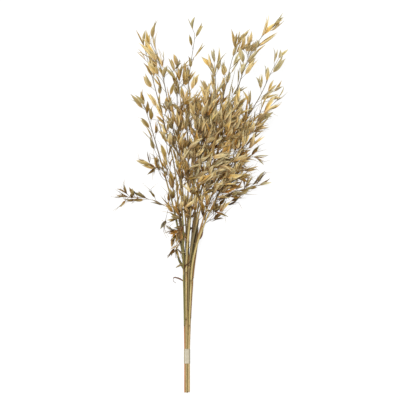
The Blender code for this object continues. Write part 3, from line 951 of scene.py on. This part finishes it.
# How often each colour comes up among the husks: at the foot of the heads and at their tips
HUSK_COLOURS = (
    (HUSK_OCHRE, 0.22, 0.46), (HUSK_CREAM, 0.14, 0.30), (HUSK_GOLD, 0.12, 0.16),
    (HUSK_OLIVE, 0.36, 0.05), (HUSK_BROWN, 0.12, 0.01), (HUSK_RUSSET, 0.24, 0.02),
)
# How golden and how pale the husks of each stem dried
STEM_GOLD = (0.1, 0.2, 0.2, 0.2, 0.4, 0.1, 0.0, 0.1, 0.4, 0.2, 0.0, 0.2)
STEM_PALE = (0.0, 0.0, 0.1, 0.3, 0.0, 0.1, 0.4, 0.5, 0.0, 0.2, 0.5, 0.3)
HUSK_LIGHTNESS = (0.56, 1.30)
TIP_LIGHTNESS = 0.96
TIPS_ALIKE = 0.55
HUSK_CLEAR = 0.54
HUSK_GLOW = (0.93, 0.88, 0.62)
CROWD_REACH = 0.026
CROWD = 26
# How far a crowded husk goes towards the painted bounce light
CROWDED_BOUNCE_SHARE = (0.45, 1.0)
# How much lighter a crowded husk is painted, as light against the shade in the thick of the bunch
CROWDED_PAINTED_LIGHT = 0.60
# Pale husks on top of the thick of the bunch: their own pale straw colour, painted brighter there as
# a highlight where the lamp falls
PALE_ONES = 1.15
PALE_HIGHLIGHT = 1.25
PALE_STRAW_HIGHLIGHT = paint(240, 222, 164) * HUSK_SHEER * PALE_HIGHLIGHT
ON_TOP = (0.015, 0.060)
PALE_LONGER = 1.22
PALE_WIDER = 1.12
BRIGHTEST = 0.93
FREE_FADE = 1.5
FREE_LONGER = 0.18
FREE_WIDER = 0.10
LEMMA_CHANCE = 0.45
FOOT_STAIN = np.array((0.74, 0.47, 0.20))
DARK_STAIN = np.array((0.34, 0.15, 0.08))
DARK_FEET = 0.80
STAIN_REACH = (0.30, 0.60)
DARK_REACH = 1.6
LOW_DARKER = 0.10
STAIN_SHARE = 0.85
TIP_UNSTAINED = 0.45
CROWDED_LONGER = 0.16
LEMMA_LONGER = (0.86, 1.18)
LEMMA_NARROWER = 0.62
LEMMA_SWAY = 0.16


def faces(inner, outer):
    """Where the points round a folded strip lie across it, and which are on its inner face."""
    return np.array(inner + outer), np.repeat((1, 0), (len(inner), len(outer)))


GLUME_ACROSS, GLUME_INSIDE = faces((-0.6, 0, 0.6), (1, 0.66, 0.33, 0, -0.33, -0.66, -1))


def let_light_through(tree, shader, colour, share):
    """Thin stuff: a share of the light goes through it and glows on the other side."""
    glow = wire(tree, "BsdfTranslucent", {"Color": multiplied(tree, colour, HUSK_GLOW)})
    both = wire(tree, "MixShader", {0: share, 1: shader.outputs[0], 2: glow})
    tree.links.new(both, tree.nodes["Material Output"].inputs["Surface"])


def husk_finish():
    """Papery husk: nerves along it, mottled, and paler, clearer edges and tip."""
    material, tree, shader = nodes_of("papery_husk_finish")
    fibre = stored(tree, "fibre")
    along, edge, inside = split(tree, "share")
    _, _, blue = split(tree, "tint")
    nerves = wire(tree, "TexWave", {"Vector": fibre, "Scale": 0.5, "Distortion": 0.6, "Detail": 1.0,
                                    "Detail Scale": 0.4}, "Fac", bands_direction="X")
    mottle = grain(tree, fibre, across=0.75, along=0.09)
    colour = mottled(tree, stored(tree, "tint"), mottle, 0.66, 1.24, low=0.32, high=0.68)
    colour = mottled(tree, colour, nerves, darkest=0.88, lightest=1.05, low=0.0, high=1.0)
    colour = mottled(tree, colour, edge, darkest=0.74, lightest=1.0, low=0.0, high=0.55)
    # Painted shade: the inner, hollow face is darker and warmer
    colour = blended(tree, inside, colour, multiplied(tree, colour, HUSK_HOLLOW_SHADE))
    rim = spread(tree, edge, 0.5, 1.0, 0.0, RIM_PALE)
    tip = spread(tree, along, 0.5, 0.95, 0.0, TIP_PALE)
    pale = wire(tree, "Math", {0: rim, 1: tip}, operation="MAXIMUM")
    bleached = spread(tree, blue, 0.08, 0.40, 0.35, 1.0)
    pale = wire(tree, "Math", {0: pale, 1: bleached}, operation="MULTIPLY")
    colour = blended(tree, pale, colour, HUSK_EDGE)
    ribs = wire(tree, "Math", {0: nerves, 1: mottle}, operation="ADD")
    finish(tree, shader, colour, mottle, smoothest=0.42, roughest=0.62,
           height=ribs, relief=0.35, depth=0.0002, gloss=0.09)
    let_light_through(tree, shader, colour, HUSK_CLEAR)
    return material


def crowding(middles):
    """How crowded each spikelet is: 0 where it stands free, 1 in the thick of the bunch."""
    gaps = np.linalg.norm(middles[:, None] - middles[None], axis=2)
    return np.minimum(((gaps < CROWD_REACH).sum(axis=1) - 1) / CROWD, 1)


def husk_colour(rng, high, crowd, golden, bleached):
    """The colour of one husk by how high in the heads it grew and how it dried, with painted bounce
    light where the bunch is thick.
    """
    weights = [towards(low, top, high) for _, low, top in HUSK_COLOURS]
    first, second = rng.choices([colour for colour, _, _ in HUSK_COLOURS], weights, k=2)
    own = towards(first, second, SECOND_COLOUR)
    own = towards(own, HUSK_GOLD, golden * high)
    own = towards(own, HUSK_CREAM, bleached * high)
    # Painted bounce light: crowded husks go towards a warm gold
    return towards(own, HUSK_PAINTED_BOUNCE, rng.uniform(*CROWDED_BOUNCE_SHARE) * crowd)


def husk_lightness(rng, high, crowd):
    """How light a spikelet's husks are: more alike at the tips, painted lighter against the shade in
    the thick of the bunch.
    """
    lightness = towards(rng.uniform(*HUSK_LIGHTNESS), TIP_LIGHTNESS, TIPS_ALIKE * high)
    # Painted light: crowded husks are made lighter against the shade among them
    return lightness * (1 + CROWDED_PAINTED_LIGHT * crowd) * (1 - LOW_DARKER * (1 - high))


def stained(rng, colour, stain):
    """A husk's colour at each of its stations: its foot dried darker."""
    reach = rng.uniform(*STAIN_REACH) * (DARK_REACH if stain is DARK_STAIN else 1)
    foot = np.clip(1 - GLUME_STATIONS / reach, 0, 1) * STAIN_SHARE
    return (colour * (1 + (stain - 1) * foot))[:, None]


def channel(middle, sides, backs, across, inward, along):
    """Rings of a strip that is folded round its back, and where they lie among its fibres."""
    rings = middle[:, None] + sides[:, None] * across[..., None] - backs[:, None] * inward[..., None]
    return rings, np.stack(np.broadcast_arrays(across, inward, along), axis=-1) / MM


def draw_glume(pile, rng, base, way, back, length, wider, wrap, colours, bow):
    """One glume: a boat along its way, its back turned outwards and its edges curled in."""
    stations, turn = GLUME_STATIONS, GLUME_ACROSS * wrap
    half = rng.uniform(*GLUME_WIDTH) / 2 * wider
    foot, tip = rng.uniform(*GLUME_FOOT_TAPER), rng.uniform(*GLUME_TIP_TAPER)
    widest = foot / (foot + tip)
    belly = (stations / widest) ** foot * ((1 - stations) / (1 - widest)) ** tip
    width = half * (GLUME_ROOT * (1 - stations) ** 2 + (1 - GLUME_ROOT) * belly)
    width[-1] = half * GLUME_POINT
    across = width * np.sin(turn) / math.sin(wrap)
    inward = width * (1 - np.cos(turn)) / math.sin(wrap)
    inward = inward + GLUME_WALL * GLUME_INSIDE * np.minimum(1, width / half * GLUME_THINNER)
    bowed = bow * length * np.sin(math.pi * stations ** BOW_SHAPE)
    twist = rng.gauss(0, GLUME_TWIST) * stations
    bend = rng.gauss(0, GLUME_BEND) * length * stations ** 2
    bowed = bowed + rng.gauss(*GLUME_CURL) * length * stations ** 3
    side = np.cross(way, back)
    middle = base + way * (length * stations) + back * bowed + side * bend
    rings, fibre = channel(middle, tilted(side, back, -twist), tilted(back, side, twist),
                           across, inward, stations * length)
    fibre[..., 1] += rng.uniform(0, HUSKS_APART)
    share = np.stack(np.broadcast_arrays(stations, np.abs(GLUME_ACROSS), GLUME_INSIDE), axis=-1)
    pile.add(rings, fibre, colours, share)


def parted(axis, fan, angle, side):
    """The way and the back of a husk or floret that leans away from the spikelet's middle."""
    return tilted(axis, fan, angle), tilted(fan, axis, -angle) * side


def dried(rng, spikelet):
    """A spikelet as it dried: shrunk or drawn out, and its husks a little apart."""
    base, axis, fan, length, opening = spikelet
    length *= rng.uniform(*GLUME_SIZE) * (1 + GLUME_LONGER_UP * how_high(base))
    return base, axis, fan, length, opening or rng.uniform(*CLOSED_GAPE), opening > 0


def draw_husks(pile, rng, spikelet, crowd, golden, bleached):
    """A spikelet's two glumes, which part from each other where it gapes."""
    base, axis, fan, length, opening, gaping = spikelet
    high = how_high(base)
    free = (1 - crowd) * (1 - FREE_FADE * (1 - high))
    length *= 1 + FREE_LONGER * free + CROWDED_LONGER * crowd
    wider = (1 + GLUME_WIDER_UP * high) * (1 + FREE_WIDER * free)
    stain = towards(FOOT_STAIN, 1, TIP_UNSTAINED * high)
    if rng.random() < DARK_FEET * (1 - high) ** 2:
        stain = DARK_STAIN
    lightness = husk_lightness(rng, high, crowd)
    lost = gaping and rng.random() < ONE_GLUME_LOST
    # Some crowded husks on top of the bunch are pale, and are painted brighter as a highlight
    pale = rng.random() < PALE_ONES * crowd * np.interp(base[2], ON_TOP, (0, 1))
    if pale:
        length, wider = length * PALE_LONGER, wider * PALE_WIDER
    for side in (-1,) if lost else (-1, 1):
        way, back = parted(axis, fan, side * opening / 2, side)
        reach = length * (rng.uniform(*SECOND_GLUME) if side > 0 else 1)
        own = husk_colour(rng, high, crowd, golden, bleached)
        own = np.minimum(PALE_STRAW_HIGHLIGHT if pale else own * lightness, BRIGHTEST)
        own = stained(rng, own, stain)
        bow = rng.uniform(*(GAPING_BOW if gaping else CLOSED_BOW))
        wrap = rng.uniform(*(GAPING_WRAP if gaping else CLOSED_WRAP))
        draw_glume(pile, rng, base, way, back, reach, wider, wrap, own, bow)
    if rng.random() < LEMMA_CHANCE * high:
        way = unit(axis + drift(rng, LEMMA_SWAY))
        draw_glume(pile, rng, base, way, aside(rng, way), length * rng.uniform(*LEMMA_LONGER),
                   wider * LEMMA_NARROWER, rng.uniform(*CLOSED_WRAP), own, 0)


papery_husk = husk_finish()
for stem in stems:
    stem["spikelets"] = [dried(looks, spikelet) for _, spikelet in stem["sprigs"]]
middles = [base + axis * length / 2
           for stem in stems for base, axis, _, length, *_ in stem["spikelets"]]
crowds = iter(crowding(np.array(middles)))
for number, stem in enumerate(stems):
    husks = Pile()
    for spikelet in stem["spikelets"]:
        draw_husks(husks, looks, spikelet, next(crowds), STEM_GOLD[number], STEM_PALE[number])
    husks.part_of_stem(number, "husks", papery_husk)

# The florets: where a spikelet gapes, the hairy brown kernels show between its husks. Each has an awn
# on its back, a stiff bristle that is dark and twisted up to its knee, and pale and straight past it.
FLORETS = (1, 2, 2, 3)
FLORET_STATIONS = np.array((0, 0.1, 0.25, 0.45, 0.65, 0.82, 0.94, 1))[:, None]
FLORET_SIDES = 8
FLORET_LENGTH = (0.52, 0.74)
FLORET_WIDTH = (0.0021, 0.0028)
FLORET_DEPTH = 0.7
FLORET_ROOT = 0.25
FLORET_SHAPE = 0.6
FLORET_POINT = 0.03
FLORET_PALER = 0.6
FLORET_SPREAD = 0.24
SPREAD_SWAY = (0.5, 1.3)
FLORET_FOOT = 0.0008
FLORET_STEP = 0.0014
FLORET_LIGHTNESS = (0.8, 1.2)
FLORETS_BELOW = 0.42
FLORET_CHANCE = ((0.0, 0.5), (0.35, 0.95))
FLORET_COLOURS = (paint(104, 58, 28), paint(128, 78, 38), paint(92, 46, 26), paint(150, 104, 58))
AWN_FOOT = 0.42
AWN_LEAN = (0.20, 0.55)
AWN_LOWER = (0.008, 0.012)
AWN_UPPER = (0.012, 0.021)
AWN_KNEE = np.radians((25, 80))
AWN_STEPS = 6
AWN_CURL = 0.15
AWN_PLACES = (0, 0.35, 1)
AWN_RADII = (0.00038, 0.00030, 0.00009)
AWN_SIDES = 4
AWN_DARK_TO = 0.2
AWN_PALING = 3
AWN_DARK = paint(96, 66, 38)
AWN_PALE = paint(190, 164, 108)
AWN_CHANCE = 0.9
CLOSED_AWN_CHANCE = 0.8
HAIRS = 14
HAIR_LENGTH = (0.0028, 0.0052)
HAIR_RADII = np.array((0.00005, 0.00004, 0.00001))
HAIR_SIDES = 3
HAIRY_PART = (0.02, 0.45)
HAIR_LEAN = (0.25, 0.6)
HAIR_COLOURS = (paint(172, 134, 88), paint(140, 104, 66), paint(196, 170, 124))
OUTSIDE = 0.012


def floret_finish():
    """A ripe kernel's hull: leathery, streaked and dull."""
    material, tree, shader = nodes_of("brown_kernel_finish")
    streaks = grain(tree, stored(tree, "fibre"), across=1.6, along=0.2)
    colour = mottled(tree, stored(tree, "tint"), streaks, darkest=0.6, lightest=1.35)
    finish(tree, shader, colour, streaks, smoothest=0.45, roughest=0.7,
           height=streaks, relief=0.5, depth=0.0002, gloss=0.15)
    return material


def draw_bristle(pile, points, radii, sides, colours):
    """A bristle or hair: a thin tapering stalk through its points."""
    _, across, outs = frames_along(points)
    rings = round_rings(points, radii[:, None], full_turn(sides), across, outs)
    pile.add(rings, rings / MM, colours)


def within_reach(points):
    """Whether a bristle stays near the bundle's own outline and over the table."""
    low, high = np.array(solid_low) - OUTSIDE, np.array(solid_high) + OUTSIDE
    return (points >= (low[0], low[1], AWN_RADII[0])).all() and (points <= high).all()


def draw_awn(pile, rng, foot, way, back):
    """An awn from the back of a floret: along it, then off to the side past the knee."""
    for _ in range(TRIES):
        lower = unit(way + back * rng.uniform(*AWN_LEAN))
        upper = tilted(lower, aside(rng, lower), rng.uniform(*AWN_KNEE))
        low_length, high_length = rng.uniform(*AWN_LOWER), rng.uniform(*AWN_UPPER)
        bend = foot + lower * low_length
        steps = np.linspace(0, 1, AWN_STEPS)[1:, None]
        curl = np.cross(lower, upper) * rng.uniform(-AWN_CURL, AWN_CURL) * high_length
        high = bend + upper * high_length * steps + curl * steps ** 2
        points = np.vstack([foot, (foot + bend) / 2, bend, high])
        if within_reach(points):
            shares = np.linspace(0, 1, len(points))
            pale = np.clip((shares - AWN_DARK_TO) * AWN_PALING, 0, 1)[:, None, None]
            draw_bristle(pile, points, np.interp(shares, AWN_PLACES, AWN_RADII), AWN_SIDES,
                         towards(AWN_DARK, AWN_PALE, pale))
            return


def draw_floret(pile, rng, base, way, back, length, colour):
    """A floret: a pointed hull, round at its back, with stiff hairs on its lower half."""
    stations, turn = FLORET_STATIONS, full_turn(FLORET_SIDES)[::-1, None]
    half = rng.uniform(*FLORET_WIDTH) / 2
    width = half * towards(np.sin(math.pi * stations ** FLORET_SHAPE), 1, FLORET_ROOT)
    width[-1] = half * FLORET_POINT
    side = np.cross(way, back)
    middle = base + way * (length * stations)
    rings = middle[:, None] + width[..., None] * tilted(side, back * -FLORET_DEPTH, turn)
    own = towards(colour, HUSK_GOLD, stations ** 2 * FLORET_PALER)
    pile.add(rings, rings / MM, own[:, None])
    for _ in range(HAIRS):
        angle, share = rng.uniform(0, 2 * math.pi), rng.uniform(*HAIRY_PART)
        out = tilted(side, back, angle)
        foot = base + way * length * share + out * half * FLORET_DEPTH
        tip = unit(way + out * rng.uniform(*HAIR_LEAN)) * rng.uniform(*HAIR_LENGTH)
        points = foot + tip * np.array((0, 0.5, 1))[:, None]
        draw_bristle(pile, points, HAIR_RADII, HAIR_SIDES, rng.choice(HAIR_COLOURS))


def draw_florets(pile, rng, spikelet):
    """What shows between the husks of one spikelet."""
    base, axis, fan, length, opening, gaping = spikelet
    low = base[1] < FLORETS_BELOW
    if not gaping and low and rng.random() < CLOSED_AWN_CHANCE:
        draw_awn(pile, rng, base + axis * length * AWN_FOOT, axis, fan)
    if rng.random() > FLORET_CHANCE[gaping][int(low)]:
        return
    count = rng.choice(FLORETS) if gaping else 1
    colour = rng.choice(FLORET_COLOURS)
    for index in range(count):
        side = -1 if index % 2 else 1
        angle = opening * FLORET_SPREAD * side * rng.uniform(*SPREAD_SWAY)
        way, back = parted(axis, fan, angle, side)
        foot = base + axis * (FLORET_FOOT + FLORET_STEP * index)
        reach = length * rng.uniform(*FLORET_LENGTH)
        draw_floret(pile, rng, foot, way, back, reach, colour * rng.uniform(*FLORET_LIGHTNESS))
        if rng.random() < AWN_CHANCE:
            draw_awn(pile, rng, foot + way * reach * AWN_FOOT, way, back)


brown_kernel = floret_finish()
for number, stem in enumerate(stems):
    florets = Pile()
    for spikelet in stem["spikelets"]:
        draw_florets(florets, looks, spikelet)
    florets.part_of_stem(number, "florets", brown_kernel)

# The leaves: most have fallen, and a few shrivelled blades hang on the culms and among the spikelets.
# Each is a thin strap, dried into a twisted channel that ends in a point. A row holds its stem, where
# it leaves that, its way from there and its width, in millimetres, its colour and its twist.
LEAF_GOLD = paint(214, 180, 112) * HUSK_SHEER
LEAF_PALE = paint(226, 214, 166) * HUSK_SHEER
LEAVES = (
    (10, 338, ((-3, 14, 14), (4, 40, 24), (12, 66, 24), (22, 92, 18)), 4.8, LEAF_GOLD, 1.9),
    (7, 396, ((2, 10, 16), (4, 30, 28), (8, 56, 26)), 4.6, LEAF_GOLD, -1.6),
    (10, 410, ((-3, 12, 8), (0, 34, 14), (6, 62, 14), (10, 80, 8)), 4.4, LEAF_PALE, 1.7),
    (9, 290, ((4, 16, 14), (12, 42, 24), (22, 66, 20)), 4.2, LEAF_PALE, -1.9),
    (8, 395, ((2, 14, 5), (-3, 40, 8), (-9, 64, 4)), 4.2, LEAF_GOLD, 1.6),
    (5, 310, ((-8, 14, 20), (-12, 40, 36), (-6, 66, 38)), 4.0, LEAF_GOLD, -1.7),
    (10, 318, ((9, 9, 20), (24, 22, 30), (38, 40, 28)), 4.0, LEAF_PALE, 1.6),
    (9, 196, ((2, 20, 2), (4, 48, 4), (5, 74, 4)), 3.0, paint(160, 140, 82), 0.5),
    (8, 190, ((-1, 22, 2), (-4, 50, 3)), 2.8, paint(154, 120, 68), -0.4),
    (5, 200, ((0, 24, 8), (2, 50, 12)), 3.2, paint(180, 150, 90), 0.5),
    (4, 205, ((-2, 22, 6), (-5, 50, 8)), 3.0, paint(148, 128, 72), -0.6),
    (6, 205, ((1, 26, 6), (3, 56, 8)), 3.2, paint(172, 140, 82), 0.4),
    (2, 200, ((2, 24, 4), (5, 48, 6)), 2.8, paint(146, 108, 60), -0.5),
    (3, 158, ((2, 24, 3), (6, 52, 4), (11, 78, 4)), 3.2, paint(150, 130, 74), 0.5),
    (1, 165, ((-1, 26, 3), (-1, 60, 6)), 3.0, paint(138, 116, 62), -0.5),
    (7, 160, ((2, 26, 4), (7, 60, 6)), 3.0, paint(166, 136, 78), 0.6),
    (5, 158, ((0, 28, 5), (1, 62, 8)), 2.8, paint(142, 126, 70), -0.4),
    (4, 146, ((-5, 9, 1), (-10, 19, 3), (-13, 30, 2)), 4.2, paint(164, 152, 84), 0.4),
    (4, 158, ((-7, -2, 3), (-16, -7, 2)), 2.6, paint(214, 190, 128), -0.5),
    (0, 128, ((-8, 5, 2), (-17, 7, 4), (-18, 0, 3), (-13, -3, 3)), 3.0, paint(176, 112, 58), 2.2),
    (8, 150, ((4, 5, 5), (9, 9, 6), (14, 15, 5)), 2.8, paint(146, 92, 44), 1.8),
    (11, 200, ((4, 8, 1), (7, 20, 2)), 2.8, paint(166, 92, 46), 0.9),
    (9, 186, ((4, 0, 3), (9, -3, 2)), 2.2, paint(216, 194, 132), 0.3),
)
LEAF_SPACING = 0.0012
LEAF_HALF = 0.8
LEAF_FOOT = 0.3
LEAF_END = 1.02
LEAF_FOOT_TAPER = 0.5
LEAF_TAPER = 0.7
LEAF_ACROSS, LEAF_INSIDE = faces(
    (-0.7, -0.35, 0, 0.35, 0.7), (1, 0.75, 0.5, 0.25, 0, -0.25, -0.5, -0.75, -1))
LEAF_WALL = 0.00025
LEAF_WRAP = np.radians((28, 60))
LEAF_RIPPLE = 0.16
RIPPLE_LENGTH = 0.004
RIPPLE_STARTS = 6
LEAVES_APART = 50
LEAF_BROWN = (*paint(126, 82, 42), 1)


def leaf_finish():
    """A dry blade: parallel veins, brown flecks and a papery lustre."""
    material, tree, shader = nodes_of("shrivelled_leaf_finish")
    fibre = stored(tree, "fibre")
    veins = grain(tree, fibre, across=3.2, along=0.06)
    flecks = grain(tree, fibre, across=0.5, along=0.18)
    colour = mottled(tree, stored(tree, "tint"), veins, darkest=0.55, lightest=1.3)
    colour = blended(tree, spread(tree, flecks, 0.52, 0.7, 0.0, 0.6), colour, LEAF_BROWN)
    finish(tree, shader, colour, veins, smoothest=0.4, roughest=0.65,
           height=veins, relief=0.6, depth=0.0003)
    let_light_through(tree, shader, colour, HUSK_CLEAR)
    return material


def draw_leaf(pile, rng, stem, height, route, width, colour, twist):
    """A shrivelled leaf, from its foot on the culm through places given from there."""
    foot, _ = place_along(stem["path"], length_at_height(stem["path"], height * MM))
    run = [foot] + [foot + np.array(step) * MM for step in route]
    points = np.array(smooth_run(run, LEAF_SPACING))
    length = run_length(points)
    shares = np.linspace(0, 1, len(points))[:, None]
    belly = shares ** LEAF_FOOT_TAPER * (LEAF_END - shares) ** LEAF_TAPER
    half = width * MM * LEAF_HALF * (LEAF_FOOT * (1 - shares) + belly / belly.max())
    first, last = sorted((rng.uniform(*LEAF_WRAP), rng.uniform(*LEAF_WRAP)))
    wrap = towards(first, last, shares)
    waves = shares * length / RIPPLE_LENGTH * 2 * math.pi + rng.uniform(0, RIPPLE_STARTS)
    across = half * np.sin(LEAF_ACROSS * wrap) / np.maximum(1, wrap)
    down = half * (1 - np.cos(LEAF_ACROSS * wrap)) / np.maximum(1, wrap)
    down = down + half * LEAF_RIPPLE * np.sin(waves) * LEAF_ACROSS ** 2 + LEAF_WALL * LEAF_INSIDE
    ways, sides, outs = frames_along(points)
    outs = outs * np.where(outs[:, 2:] < 0, -1, 1)
    backs = tilted(outs, sides, twist * shares)
    rings, fibre = channel(points, np.cross(ways, backs), backs, across, down, shares * length)
    pile.add(rings, fibre + rng.uniform(0, LEAVES_APART), colour)


shrivelled_leaf = leaf_finish()
for number in sorted({row[0] for row in LEAVES}):
    leaves = Pile()
    for owner, height, route, width, colour, twist in LEAVES:
        if owner == number:
            draw_leaf(leaves, looks, stems[number], height, route, width, colour, twist)
    leaves.part_of_stem(number, "leaves", shrivelled_leaf)

# The tie: a band of pale matt tape wound a little more than twice round the culms. It is pressed into
# the hollows between them, clearer where it sticks to a culm, and ends in a loose edge.
TAPE_TURNS = 2.35
TAPE_PLY = 0.00014
TAPE_STICK = 0.00004
TAPE_DIP = 0.45
TAPE_STEP = math.radians(12)
TAPE_ACROSS = 15
TAPE_STAGGER = 0.0005
TAPE_FLARE = 0.00008
FLARE_SHAPE = 6
TAPE_CREASE = 0.00003
CREASES = (9, 31)
TAPE_WAVES = 2.6
TAPE_SPACING = 0.0003
TAPE_THINNED = 0.8
STUCK_WITHIN = 0.12
TAPE_MILKY = (*paint(198, 191, 168), 1)
TAPE_STUCK = (*paint(172, 156, 116), 1)


def taut_outline():
    """Corners of the tape pulled tight round the culms: a culm's middle and two angles for each."""
    corners = [slot(0, 0), slot(0, COLUMNS - 1), slot(1, COLUMNS - 1), slot(2, COLUMNS - 1),
               slot(2, 0), slot(1, 0)]
    arcs = []
    for index, corner in enumerate(corners):
        before = Vector(corner) - Vector(corners[index - 1])
        after = Vector(corners[(index + 1) % len(corners)]) - Vector(corner)
        first = math.atan2(-before.x, before.y)
        sweep = (math.atan2(-after.x, after.y) - first) % (2 * math.pi)
        if sweep < math.pi:
            arcs.append((corner, first, sweep))
    return arcs


def pressed_in(point, out):
    """How far the taut band sinks into the hollow between the culms under it, and how it sticks."""
    nearest = min(math.dist(point, slot(row, column))
                  for row in range(len(ROW_LIFT)) for column in range(COLUMNS))
    hollow = max(nearest - out, 0)
    return hollow * TAPE_DIP, max(0, 1 - hollow / (CULM_WIDTH * STUCK_WITHIN))


def tape_height(turns):
    """How far the tape lies from the middle of a culm under it after some turns."""
    return CULM_WIDTH / 2 + TAPE_STICK + TAPE_PLY * turns


def wound_tape():
    """The run of the tape seen along the culms, a ply further out at each turn: places, ways out, and
    turns up to there."""
    around = []
    for corner, first, sweep in taut_outline():
        steps = max(2, math.ceil(sweep / TAPE_STEP))
        for angle in first + sweep * np.arange(steps + 1) / steps:
            around.append((corner, (math.cos(angle), math.sin(angle))))
    order = np.arange(int(TAPE_TURNS * len(around)))
    corners, outs = np.array(around)[order % len(around)].swapaxes(0, 1)
    turns = order / len(around)
    return corners + outs * tape_height(turns)[:, None], outs, turns


def tape_finish():
    """Matt tape: milky where it spans a hollow, clearer where it sticks, faintly lined."""
    material, tree, shader = nodes_of("matt_tape_finish")
    fibre = stored(tree, "fibre")
    sticks, _, _ = split(tree, "share")
    haze = grain(tree, fibre, across=0.5, along=0.5)
    lines = grain(tree, fibre, across=3.0, along=0.08, detail=2.0)
    colour = blended(tree, sticks, TAPE_MILKY, TAPE_STUCK)
    colour = mottled(tree, colour, haze, darkest=0.92, lightest=1.05)
    colour = mottled(tree, colour, lines, darkest=0.93, lightest=1.04)
    finish(tree, shader, colour, haze, smoothest=0.28, roughest=0.5,
           height=haze, relief=0.3, depth=0.0002)
    return material


def draw_tape(pile):
    """The wound band as one thin strip, a ply thicker at each turn."""
    line, outs, turns = wound_tape()
    along = measured(line)
    even = np.arange(0, along[-1], TAPE_SPACING)
    line, outs = between(even, along, line), between(even, along, outs)
    turns = np.interp(even, along, turns)
    spots = np.linspace(-1, 1, TAPE_ACROSS)
    rings, shares = [], []
    for place, out, turn in zip(line, outs, turns):
        out = unit(out)
        dip, stuck = pressed_in(place, tape_height(turn))
        crease = TAPE_CREASE * np.sin(spots * CREASES[0] + turn * CREASES[1])
        crease = crease + TAPE_FLARE * spots ** FLARE_SHAPE
        y = spots * TAPE_HEIGHT / 2 + TAPE_STAGGER * math.sin(turn * TAPE_WAVES)
        inner = place - out * dip + out * crease[:, None]
        outer = inner + out * TAPE_PLY * TAPE_THINNED
        lower, upper = (np.stack([face[:, 0], y, face[:, 1]], axis=1) for face in (inner, outer))
        rings.append(np.vstack([lower, upper[::-1]]))
        shares.append([(stuck, 0, 0)])
    rings = np.array(rings)
    fibre = np.stack(np.broadcast_arrays(even[:, None], 0, rings[..., 1]), axis=-1) / MM
    pile.add(rings, fibre, (1, 1, 1), np.array(shares))


band = Pile()
draw_tape(band)
band.piece("wound_tape", tape_finish(), "tape_band")

# The table, the light and the camera: a plain pale top, a white room, one large soft lamp from the
# upper left, and a camera that looks straight down at the bundle. The top is lit through, so that
# it stays pale in the gaps of the bundle.
TABLE_SIZE = 30
TABLE_DROP = 0.0003
TABLE_WHITE = (0.08, 0.08, 0.0795, 1)
TABLE_GLOW = 0.90
TABLE_DULL = 0.9
ROOM_LIGHT = 0.66
LAMP_PLACE = (-1.3, 1.7, 8.6)
LAMP_SIZE = 3.0
LAMP_POWER = 1080
VIEW_MIDDLE = (0.0221, 0.2669)
VIEW_WIDTH = 0.680
VIEW_HEIGHT = 0.045
LENS = 400
SENSOR = 36

bpy.ops.mesh.primitive_plane_add(size=TABLE_SIZE, location=(0, 0, -TABLE_DROP))
table = bpy.context.object
table.name = "table_top"
table_finish, tree, shader = nodes_of("table_finish")
for name, value in (("Base Color", TABLE_WHITE), ("Roughness", TABLE_DULL),
                    ("Emission Color", (1, 1, 1, 1)), ("Emission Strength", TABLE_GLOW)):
    shader.inputs[name].default_value = value
table.data.materials.append(table_finish)

world = bpy.data.worlds.new("white_room")
world.use_nodes = True
background = world.node_tree.nodes["Background"]
background.inputs[0].default_value = (1, 1, 1, 1)
background.inputs[1].default_value = ROOM_LIGHT
bpy.context.scene.world = world

lamp_data = bpy.data.lights.new("soft_lamp", "AREA")
lamp_data.shape = "DISK"
lamp_data.size = LAMP_SIZE
lamp_data.energy = LAMP_POWER
lamp = placed("soft_lamp", lamp_data, LAMP_PLACE)
down = Vector((*VIEW_MIDDLE, 0)) - Vector(LAMP_PLACE)
lamp.rotation_euler = down.to_track_quat("-Z", "Y").to_euler()

camera_data = bpy.data.cameras.new("camera")
camera_data.lens = LENS
camera_data.sensor_width = SENSOR
distance = VIEW_HEIGHT + VIEW_WIDTH * LENS / SENSOR
bpy.context.scene.camera = placed("camera", camera_data, (*VIEW_MIDDLE, distance))
bpy.context.scene.view_settings.view_transform = "Standard"
